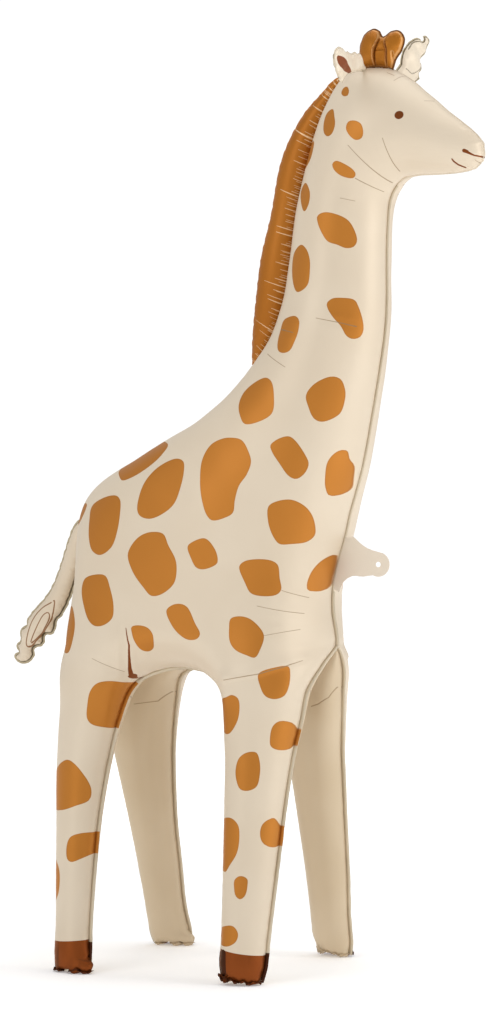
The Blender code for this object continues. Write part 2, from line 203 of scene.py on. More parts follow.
# %% Floor and light
FLOOR_RADII = (0.8, 1.4, 2.2, 3.2, 4.5, 6.0, 9.0, 14.0)
FLOOR_SIDES = 64
FLOOR_WHITE = (0.95, 0.95, 0.95, 1)
FLOOR_ROUGHNESS = 0.8
WHITE = (1, 1, 1, 1)
NEAR_GLOW = 0.25
FAR_GLOW = 0.60
GLOW_FROM = 1.1
GLOW_TO = 3.4
SKY_STRENGTH = 0.58
SKY_SEEN = 1.05
LAMPS = {
    "key_lamp": {"place": (-1.7, -4.8, 3.2), "aim": (0, 0, 0.95), "size": (3.0, 3.0), "power": 56},
    "fill_lamp": {"place": (3.6, 0.5, 1.8), "aim": (0, 0, 0.95), "size": (1.6, 2.6), "power": 42},
    "top_lamp": {"place": (0.0, 0.8, 4.2), "aim": (0, 0.4, 0), "size": (3.0, 3.0), "power": 46},
}

floor_paint = bpy.data.materials.new("studio_white")
floor_paint.use_nodes = True
tree = floor_paint.node_tree
glow = node(tree, "ShaderNodeMapRange", {
    "Value": vector_maths(tree, "LENGTH", object_place(tree)), "From Min": GLOW_FROM, "From Max": GLOW_TO,
    "To Min": NEAR_GLOW, "To Max": FAR_GLOW}, interpolation_type="SMOOTHSTEP")
feed_all(tree, tree.nodes["Principled BSDF"], {
    "Base Color": FLOOR_WHITE, "Roughness": FLOOR_ROUGHNESS, "Emission Color": WHITE,
    "Emission Strength": glow.outputs["Result"]})

floor_points = [(0.0, 0.0, 0.0)]
floor_faces = []
for ring, radius in enumerate(FLOOR_RADII):
    first = 1 + ring * FLOOR_SIDES
    for k in range(FLOOR_SIDES):
        turn = math.tau * k / FLOOR_SIDES
        floor_points.append((radius * math.cos(turn), radius * math.sin(turn), 0.0))
        onward = (k + 1) % FLOOR_SIDES
        if ring == 0:
            floor_faces.append((0, first + k, first + onward))
        else:
            below = first - FLOOR_SIDES
            floor_faces.append((below + k, first + k, first + onward, below + onward))
floor_mesh = bpy.data.meshes.new("studio_floor")
floor_mesh.from_pydata(floor_points, [], floor_faces)
floor_mesh.materials.append(floor_paint)
studio_floor = bpy.data.objects.new("studio_floor", floor_mesh)
bpy.context.scene.collection.objects.link(studio_floor)

world = bpy.data.worlds.new("studio")
bpy.context.scene.world = world
world.use_nodes = True
tree = world.node_tree
seen = node(tree, "ShaderNodeLightPath").outputs["Is Camera Ray"]
strength = node(tree, "ShaderNodeMapRange", {"Value": seen, "To Min": SKY_STRENGTH, "To Max": SKY_SEEN})
feed_all(tree, tree.nodes["Background"], {"Color": WHITE, "Strength": strength.outputs["Result"]})
bpy.context.scene.view_settings.view_transform = "Standard"

for name, lamp in LAMPS.items():
    light = bpy.data.lights.new(name, "AREA")
    light.shape = "RECTANGLE"
    light.size, light.size_y = lamp["size"]
    light.energy = lamp["power"]
    thing = bpy.data.objects.new(name, light)
    thing.location = lamp["place"]
    thing.rotation_euler = (Vector(lamp["aim"]) - Vector(lamp["place"])).to_track_quat("-Z", "Y").to_euler()
    bpy.context.scene.collection.objects.link(thing)
print("stage: floor with", len(floor_faces), "faces,", len(LAMPS), "lamps")

# %% [markdown]
# ## The flat outline
#
# A maker of foil balloons starts from a drawing of the side view. It is kept here as points in thousandths
# of the full height, forward and up, and a smooth line goes through them. The legs are short tables of
# height, back edge and front edge, because a leg is read from the top down.

# %% Outline of the side panel
CROWN = ((125, 950), (141, 957), (162, 958), (180, 955), (195, 947))
FACE = ((205, 940), (215, 931), (228, 920.5), (241, 909), (257, 896.5), (270, 886))
NOSE = ((278.5, 877), (282, 869.5), (282.5, 862), (279, 852), (270, 846))
JAW = ((257, 843.5), (234, 842.5), (208, 842.5), (193, 840), (184.5, 833))
NECK = (
    (820, 74, 177),
    (790, 69, 173.5),
    (750, 64, 172.5),
    (713, 57, 172.5),
    (680, 46, 170.5),
    (643, 20, 165),
)
NAPE_TOP = ((84, 858), (92, 886), (101, 909), (109, 926), (117, 940))
BACK = ((1, 621), (-17, 606), (-43, 588), (-80, 569.5), (-118, 548), (-142, 535.5), (-160, 525), (-180, 505),
        (-189, 480), (-189.5, 449), (-190.5, 414), (-196, 384))
CHEST = ((157, 598), (145.5, 540), (137, 510), (130.5, 489), (124, 462), (116, 435), (110, 408), (109.5, 383),
         (113, 362))
BELLY_HEIGHT = 347.5
BELLY_BACK = -202.5
BELLY_FRONT = 114
HIND_LEG = (
    (300, -189, -103.5),
    (265, -187.5, -113.5),
    (228, -186, -120),
    (187, -182, -124),
    (143, -177, -126),
    (96, -172, -125.5),
    (49, -167.5, -124.5),
    (9, -164, -121.5),
)
FRONT_LEG = (
    (300, 12.5, 100.5),
    (274, 18, 97.5),
    (245, 21.5, 93.5),
    (228, 23.5, 91.5),
    (187, 26.5, 89),
    (143, 29.5, 87),
    (96, 32.5, 85),
    (49, 35, 82.5),
    (12, 36.5, 81),
)
ARCH = ((-96.5, 309), (-86.5, 315), (-66, 321.5), (-43, 323), (-22, 320), (-3, 312))
THIGH_BACK = (-197, 328)
SHOULDER_FRONT = (109, 327)
FOOT_DEPTH = 7.5
FOOT_CORNER = 0.14


def smooth_line(points, step, closed=True):
    """A centripetal Catmull-Rom line through the points, sampled about every step."""
    points = np.asarray(points, float)
    count = len(points)
    line = []
    for i in range(count if closed else count - 1):
        if closed:
            a, b, c, d = (points[(i + k) % count] for k in (-1, 0, 1, 2))
        else:
            b, c = points[i], points[i + 1]
            a = points[i - 1] if i > 0 else 2 * b - c
            d = points[i + 2] if i + 2 < count else 2 * c - b
        t1 = math.sqrt(np.linalg.norm(b - a))
        t2 = t1 + math.sqrt(np.linalg.norm(c - b))
        t3 = t2 + math.sqrt(np.linalg.norm(d - c))
        pieces = max(1, round(np.linalg.norm(c - b) / step))
        for k in range(pieces):
            t = t1 + (t2 - t1) * k / pieces
            ab = (a * (t1 - t) + b * t) / t1
            bc = (b * (t2 - t) + c * (t - t1)) / (t2 - t1)
            cd = (c * (t3 - t) + d * (t - t2)) / (t3 - t2)
            abc = (ab * (t2 - t) + bc * t) / t2
            bcd = (bc * (t3 - t) + cd * (t - t1)) / (t3 - t1)
            line.append((abc * (t2 - t) + bcd * (t - t1)) / (t2 - t1))
    if not closed:
        line.append(points[-1])
    return np.array(line)


def side_outline():
    """The control points of the side panel, from the back of the crown round by the nose, in metres."""
    feet = []
    for leg in (FRONT_LEG, HIND_LEG):
        back, front = leg[-1][1:]
        corner = FOOT_CORNER * (front - back)
        low = -FOOT_DEPTH
        feet.append(((front - corner, 0.55 * low), ((back + front) / 2, low), (back + corner, 0.55 * low)))
    points = [*CROWN, *FACE, *NOSE, *JAW]
    points += [(front, up) for up, _, front in NECK]
    points += [*CHEST, (BELLY_FRONT, BELLY_HEIGHT), SHOULDER_FRONT]
    points += [(front, up) for up, _, front in FRONT_LEG]
    points += feet[0]
    points += [(back, up) for up, back, _ in reversed(FRONT_LEG)]
    points += list(reversed(ARCH))
    points += [(front, up) for up, _, front in HIND_LEG]
    points += feet[1]
    points += [(back, up) for up, back, _ in reversed(HIND_LEG)]
    points += [THIGH_BACK, (BELLY_BACK, BELLY_HEIGHT)]
    points += list(reversed(BACK))
    points += [(back, up) for up, back, _ in reversed(NECK)]
    points += list(NAPE_TOP)
    return np.array(points) * MIL


side_controls = side_outline()
print("side panel:", len(side_controls), "hand-placed points")

# %% [markdown]
# ## From a flat outline to a mesh
#
# The panel is filled with triangles about four millimetres wide. Close to the weld the film turns
# steeply, so the rows of points come closer and closer there. A row at depth d rises to about
# sqrt(2 r d) on a tube of radius r, so depths that grow with the square of their number give rows that
# lie evenly on the blown-up film.

# %% Fill an outline with triangles
FILM_STEP = 0.0042
ROW_COUNT = 8
ROW_CLEARANCE = 0.985
TUBE_RADIUS = 0.075
POINTS_AT_ONCE = 2000


def nearest_place(start, along, points):
    """For each point: its distance from a line in pieces, and how far along it the nearest place is."""
    length = np.sqrt((along**2).sum(1))
    travelled = np.concatenate([[0], np.cumsum(length)[:-1]])
    length2 = np.maximum(length**2, 1e-18)
    nearest = np.empty(len(points))
    place = np.empty(len(points))
    for low in range(0, len(points), POINTS_AT_ONCE):
        part = points[low:low + POINTS_AT_ONCE, None, :] - start[None]
        share = np.clip((part * along).sum(2) / length2, 0, 1)
        gap = ((part - share[..., None] * along) ** 2).sum(2)
        best = gap.argmin(1)
        row = np.arange(len(best))
        nearest[low:low + len(best)] = np.sqrt(gap[row, best])
        place[low:low + len(best)] = travelled[best] + share[row, best] * length[best]
    return nearest, place


def weld_side(outline, points):
    """For each point: its distance from a closed outline, and how far along it the nearest place is."""
    return nearest_place(outline, np.roll(outline, -1, axis=0) - outline, points)


def inside(outline, points):
    """Which of the points lie within a closed outline."""
    hit = np.zeros(len(points), bool)
    for a, b in zip(outline, np.roll(outline, -1, axis=0)):
        if a[1] == b[1]:
            continue
        between = (points[:, 1] < a[1]) != (points[:, 1] < b[1])
        hit ^= between & (points[:, 0] < a[0] + (points[:, 1] - a[1]) * (b[0] - a[0]) / (b[1] - a[1]))
    return hit


def rows_inside(outline, depths):
    """Points in rows inside the outline at the depths given, left out where rows of two sides would meet."""
    tangent = np.roll(outline, -1, axis=0) - np.roll(outline, 1, axis=0)
    tangent /= np.linalg.norm(tangent, axis=1)[:, None]
    inward = np.stack([-tangent[:, 1], tangent[:, 0]], axis=1)
    if inside(outline, outline + inward * 1e-4).mean() < 0.5:
        inward = -inward
    rows = []
    for depth in depths:
        row = outline + inward * depth
        row = row[inside(outline, row)]
        rows.append(row[weld_side(outline, row)[0] > ROW_CLEARANCE * depth])
    return np.vstack(rows)


def grid_inside(outline, step, margin):
    """A triangular grid of points within the outline, at least a margin away from it."""
    low = outline.min(0)
    high = outline.max(0)
    points = []
    for k, up in enumerate(np.arange(low[1], high[1], step * math.sqrt(0.75))):
        points += [(x + (k % 2) * step / 2, up) for x in np.arange(low[0], high[0], step)]
    points = np.array(points)
    points = points[inside(outline, points)]
    return points[weld_side(outline, points)[0] > margin]


def fill(outline, inner):
    """Triangles over a closed outline and the loose points within it. The outline's points come first."""
    points = np.vstack([outline, inner])
    result = delaunay_2d_cdt([tuple(p) for p in points], [], [list(range(len(outline)))], 1, 1e-7, True)
    place = {}
    for number, origins in enumerate(result[3]):
        for origin in origins:
            place.setdefault(number, origin)
    faces = np.array([[place[v] for v in face] for face in result[2]])
    a, b, c = (points[faces[:, k]] for k in range(3))
    turn = (b[:, 0] - a[:, 0]) * (c[:, 1] - a[:, 1]) - (b[:, 1] - a[:, 1]) * (c[:, 0] - a[:, 0])
    faces[turn < 0] = faces[turn < 0][:, ::-1]
    return points, faces[inside(outline, (a + b + c) / 3) & (np.abs(turn) > 1e-11)]


# %% [markdown]
# ## Blowing up a panel
#
# Film that is pressed from inside and held along its edge bulges like a soap membrane. The membrane
# equation is solved on the triangles, and the square root of twice its height gives the half thickness: a
# long strip becomes an exact tube, and a broad panel a cushion. The solver is the method of conjugate
# gradients, which needs only sums over the triangles' edges.

# %% Membrane
SOLVER_STEPS = 6000
SOLVED = 1e-12


def membrane(points, faces, held):
    """The height of a membrane under even pressure, held at zero at the points that a mask names."""
    corner = [points[faces[:, k]] for k in range(3)]
    side = [corner[(k + 2) % 3] - corner[(k + 1) % 3] for k in range(3)]
    area = 0.5 * np.abs(side[0][:, 0] * side[1][:, 1] - side[0][:, 1] * side[1][:, 0])
    start = np.concatenate([faces[:, 1], faces[:, 2], faces[:, 0]])
    end = np.concatenate([faces[:, 2], faces[:, 0], faces[:, 1]])
    pull = np.concatenate([-(side[(k + 1) % 3] * side[(k + 2) % 3]).sum(1) / (4 * area) for k in range(3)])
    count = len(points)
    load = np.bincount(faces.ravel(), np.repeat(area / 3, 3), count)
    load[held] = 0
    weight = np.bincount(start, pull, count) + np.bincount(end, pull, count)
    weight[held] = 1
    weight[weight <= 0] = 1
    x = np.zeros(count)
    rest = load.copy()
    scaled = rest / weight
    search = scaled.copy()
    energy = rest @ scaled
    first = energy
    for _ in range(SOLVER_STEPS):
        flow = pull * (search[start] - search[end])
        moved = np.bincount(start, flow, count) - np.bincount(end, flow, count)
        moved[held] = 0
        stride = energy / (search @ moved)
        x += stride * search
        rest -= stride * moved
        scaled = rest / weight
        fresh = rest @ scaled
        if fresh < SOLVED * first:
            break
        search = scaled + search * (fresh / energy)
        energy = fresh
    return np.maximum(x, 0)


CUSHION_CUT = 0.15
CUSHION_FROM = 0.090
CUSHION_FULL = 0.170


def ease(share):
    """A soft step from 0 to 1."""
    share = np.clip(share, 0, 1)
    return share * share * (3 - 2 * share)


def blown_up(points, faces, held):
    """Half thickness of a panel: round where it is narrow, flatter where it is broad."""
    thickness = np.sqrt(2 * membrane(points, faces, held))
    return thickness * (1 - CUSHION_CUT * ease((thickness - CUSHION_FROM) / (CUSHION_FULL - CUSHION_FROM)))


weld_line = smooth_line(side_controls, FILM_STEP)
row_depths = [(k * FILM_STEP) ** 2 / (2 * TUBE_RADIUS) for k in range(1, ROW_COUNT + 1)]
grid_margin = row_depths[-1] + 0.55 * FILM_STEP
loose = np.vstack([rows_inside(weld_line, row_depths), grid_inside(weld_line, FILM_STEP, grid_margin)])
flat, outer_faces = fill(weld_line, loose)
rim = len(weld_line)
thickness = blown_up(flat, outer_faces, np.arange(len(flat)) < rim)
depth, along_weld = weld_side(weld_line, flat)
print("side panel:", len(flat), "points,", len(outer_faces), "triangles, thickest",
      round(thickness.max(), 3), "m")

# %% [markdown]
# ## Standing on four legs
#
# The two side panels share the long weld in the middle plane down to the belly. Below it each leg has a
# weld of its own that leans outwards, and a plain inner panel closes it. So the film is pushed sideways
# by a table of height and distance, the legs are turned a little, and what would reach through the floor
# is pressed flat.

# %% Splay of the legs
WELD_SPLAY = ((-20, 120), (0, 116), (49, 105.5), (96, 97.3), (143, 88), (187, 79), (228, 69.5), (265, 61),
              (302, 50), (327, 28), (347.5, 0))
FILM_SPLAY = ((-20, 120), (0, 116), (49, 105.5), (96, 97.3), (143, 88), (187, 79), (228, 69), (265, 57.5),
              (300, 43), (335, 27), (370, 13), (405, 4.5), (440, 0), (1000, 0))
LEG_TURN = 0.18
LEG_REACH = 103
ARCH_MIDDLE = -42
TURN_FADE = (265, 347.5)
SPLAY_DEPTH = 0.030
INNER_REACH = 0.62
TINY = 1e-9


def splay(table, up):
    """Distance from the middle plane at a height, from a table in thousandths."""
    line = smooth_line(np.array(sorted(table)) * MIL, 0.004, closed=False)
    return np.interp(up, line[:, 0], line[:, 1])


def leg_turn(points):
    """What the turn of the legs adds to the splay, at points of the side view."""
    fade = ease((TURN_FADE[1] * MIL - points[:, 1]) / ((TURN_FADE[1] - TURN_FADE[0]) * MIL))
    spread = np.hypot(points[:, 0] - ARCH_MIDDLE * MIL, 0.02) - LEG_REACH * MIL
    return -LEG_TURN * spread * fade


def weld_offset(points):
    """How far the weld stands from the middle plane, at points of the side view."""
    below = points[:, 1] < BELLY_HEIGHT * MIL - TINY
    return (splay(WELD_SPLAY, points[:, 1]) + leg_turn(points)) * below


weld_reach = weld_offset(flat)
film_reach = splay(FILM_SPLAY, flat[:, 1]) + leg_turn(flat)
depth_blend = 1 - np.exp(-((depth / SPLAY_DEPTH) ** 2))
outer_reach = weld_reach + (film_reach - weld_reach) * depth_blend + thickness

belly = BELLY_HEIGHT * MIL
belly_ends = [k for k in range(rim) if abs(weld_line[k, 1] - belly) <= TINY]
belly_front, belly_back = min(belly_ends), max(belly_ends)
belly_length = weld_line[belly_front, 0] - weld_line[belly_back, 0]
belly_line = np.linspace(weld_line[belly_back], weld_line[belly_front], round(belly_length / FILM_STEP))
leg_ring = np.vstack([weld_line[belly_front:belly_back + 1], belly_line[1:-1]])
leg_rim = belly_back - belly_front + 1
low_loose = loose[loose[:, 1] < belly - 0.4 * FILM_STEP]
inner_flat, inner_faces = fill(leg_ring, low_loose)
everywhere = {tuple(np.round(p, 7)): t for p, t in zip(flat, thickness)}
inner_thickness = np.array([everywhere.get(tuple(np.round(p, 7)), 0.0) for p in inner_flat])
missing = np.arange(leg_rim, len(leg_ring))
if len(missing):
    nearest = [np.argmin(((flat - inner_flat[k]) ** 2).sum(1)) for k in missing]
    inner_thickness[missing] = thickness[nearest]
inner_weld = weld_offset(inner_flat)
limit = np.maximum(INNER_REACH * inner_weld, TINY)
soft = (np.maximum(inner_thickness, TINY) ** -4 + limit**-4) ** -0.25
soft[inner_thickness <= 0] = 0
inner_reach = inner_weld - soft
print("inner panel:", len(inner_flat), "points,", len(inner_faces), "triangles")

# %% [markdown]
# ## Seams, puckers and folds
#
# Two things show that this is welded film and not clay. The weld can't stretch while the film beside it
# must, so the film pulls in to a shallow valley there and puckers into short folds square to the seam,
# most where the outline is round like a ball. And where a leg meets the trunk, or the neck meets the
# jaw, spare film lies in a few long thin folds. Both are moves of the points along the film's normal.

# %% Puckers along the weld
VALLEY_DEPTH = 0.0022
VALLEY_WIDTH = 0.0065
PUCKER_LENGTH = 0.026
PUCKER_REACH = 0.017
PUCKER_DEPTH = 0.0011
PUCKER_ROUND = 0.045
CALM_FROM = 925
CALM_TO = 945
CALM_SHARE = 0.75
FACE_FROM = 836
FACE_FADE = 12
BEND_REACH = 6
weld_total = np.linalg.norm(np.roll(weld_line, -1, axis=0) - weld_line, axis=1).sum()


def bend_of_weld(along):
    """How strongly the outline is rounded outwards near a place: 0 where straight, 1 on a small ball."""
    ahead = np.roll(weld_line, -BEND_REACH, axis=0) - weld_line
    behind = weld_line - np.roll(weld_line, BEND_REACH, axis=0)
    turn = behind[:, 0] * ahead[:, 1] - behind[:, 1] * ahead[:, 0]
    turn /= np.linalg.norm(ahead, axis=1) * np.linalg.norm(behind, axis=1)
    if turn.sum() < 0:
        turn = -turn
    curved = np.clip(turn / (BEND_REACH * FILM_STEP) * PUCKER_ROUND, 0, 1)
    travelled = np.linspace(0, weld_total, rim, endpoint=False)
    return np.interp(along, travelled, curved, period=weld_total)


def wander(along, length, wave, seed):
    """Uneven waves round an outline: three wave lengths that don't repeat, the same in each run."""
    total = np.zeros(len(along))
    for number, part in enumerate((1.0, 1.63, 2.71)):
        waves = round(length / wave * part)
        phase = math.tau * math.sin(seed * 12.9898 + number * 78.233) * 43.7585
        total += np.cos(math.tau * waves * along / length + phase) / part
    return total / 1.6


def pucker(along, off_weld, seed):
    """How far the film is moved outwards, at a place along the weld and a distance from it."""
    height = PUCKER_DEPTH * (0.35 + 1.3 * bend_of_weld(along))
    fade = np.exp(-((off_weld / PUCKER_REACH) ** 1.5)) * (1 - np.exp(-((off_weld / 0.002) ** 2)))
    return height * fade * wander(along, weld_total, PUCKER_LENGTH, seed)


print("weld:", round(weld_total, 2), "m long, about", round(weld_total / PUCKER_LENGTH), "puckers a side")

# %% [markdown]
# Every long fold is a line in the picture, from where it starts to where it ends. The camera's sight
# lines carry the two ends onto the film, and from there on the fold is a place on the balloon and stays
# there from any side. The same is done with the printed spots further down.

# %% Put the film in space
body_points = []
body_faces = []
outer_face_count = 2 * len(outer_faces)
vertex_of = {}
vertex_flat = []
vertex_side = []
vertex_outer = []


def ray_target(points, faces):
    """The faces of a mesh in a form that sight lines can hit."""
    return BVHTree.FromPolygons([tuple(p) for p in points], [tuple(map(int, face)) for face in faces])


def add_vertex(key, x, y, z, side, outer, number):
    if key not in vertex_of:
        vertex_of[key] = len(body_points)
        body_points.append((x, y, z))
        vertex_flat.append((x, z))
        vertex_side.append(side)
        vertex_outer.append(number if outer else -1 - number)
    return vertex_of[key]


def outer_vertex(side, number):
    x, z = flat[number]
    if number < rim:
        shared = side if z < belly - TINY else 0
        return add_vertex(("rim", shared, number), x, side * outer_reach[number], z, shared, True, number)
    return add_vertex(("outer", side, number), x, side * outer_reach[number], z, side, True, number)


def inner_vertex(side, number):
    x, z = inner_flat[number]
    if number < leg_rim:
        return outer_vertex(side, number + belly_front)
    if number < len(leg_ring):
        return add_vertex(("belly", 0, number), x, 0.0, z, 0, False, number)
    return add_vertex(("inner", side, number), x, side * inner_reach[number], z, side, False, number)


for a, b, c in outer_faces:
    body_faces.append([outer_vertex(-1, v) for v in (a, b, c)])
    body_faces.append([outer_vertex(1, v) for v in (c, b, a)])
for a, b, c in inner_faces:
    body_faces.append([inner_vertex(-1, v) for v in (c, b, a)])
    body_faces.append([inner_vertex(1, v) for v in (a, b, c)])
body_points = np.array(body_points)
body_faces = np.array(body_faces)
vertex_flat = np.array(vertex_flat)
vertex_side = np.array(vertex_side)
vertex_outer = np.array(vertex_outer)
near_film = ray_target(body_points, body_faces[:outer_face_count:2])
print("body:", len(body_points), "points,", len(body_faces), "triangles")

# %% Sight lines onto the film
WRAP = 1.4


def on_film(pixel, home=None):
    """The place of a pixel on the near film, as (forward, up). Past the film's edge it goes on round it."""
    hit = near_film.ray_cast(camera.location, sight_line(pixel))[0]
    if hit is not None:
        return np.array((hit.x, hit.z))
    if home is None:
        raise ValueError("the camera sees no film at " + str(pixel))
    pixel, home = np.array(pixel), np.array(home)
    for share in np.linspace(0.02, 0.98, 49):
        closer = pixel + (home - pixel) * share
        hit = near_film.ray_cast(camera.location, sight_line(closer))[0]
        if hit is not None:
            step = (pixel - closer) * (camera.location - hit).length / LENS_PIXELS * WRAP
            return np.array((hit.x + step[0], hit.z - step[1]))
    raise ValueError("the camera sees no film near " + str(tuple(home)))


def line_on_film(start, end):
    """Both ends of a line in the picture, on the near film."""
    middle = ((start[0] + end[0]) / 2, (start[1] + end[1]) / 2)
    return on_film(start, middle), on_film(end, middle)


# %% [markdown]
# ## The printed spots
#
# Each spot is traced from the picture by a few points on its edge, in pixels, and rounded by the same
# smooth line as the outline. A spot at the edge of the view gets points past it, so that its print runs
# on round the leg or the back. The mesh keeps, at every point, how far inside a spot it lies. That
# distance is smooth, so its zero line cuts across the triangles and the print gets a clean edge. The far
# side is printed alike, but there a few spots sit further back, clear of the weld, since the picture
# shows no orange past the front edges. Those spots and the one that crosses the back take the outline
# that a stretched band would have, because half of what was traced lies round the corner.

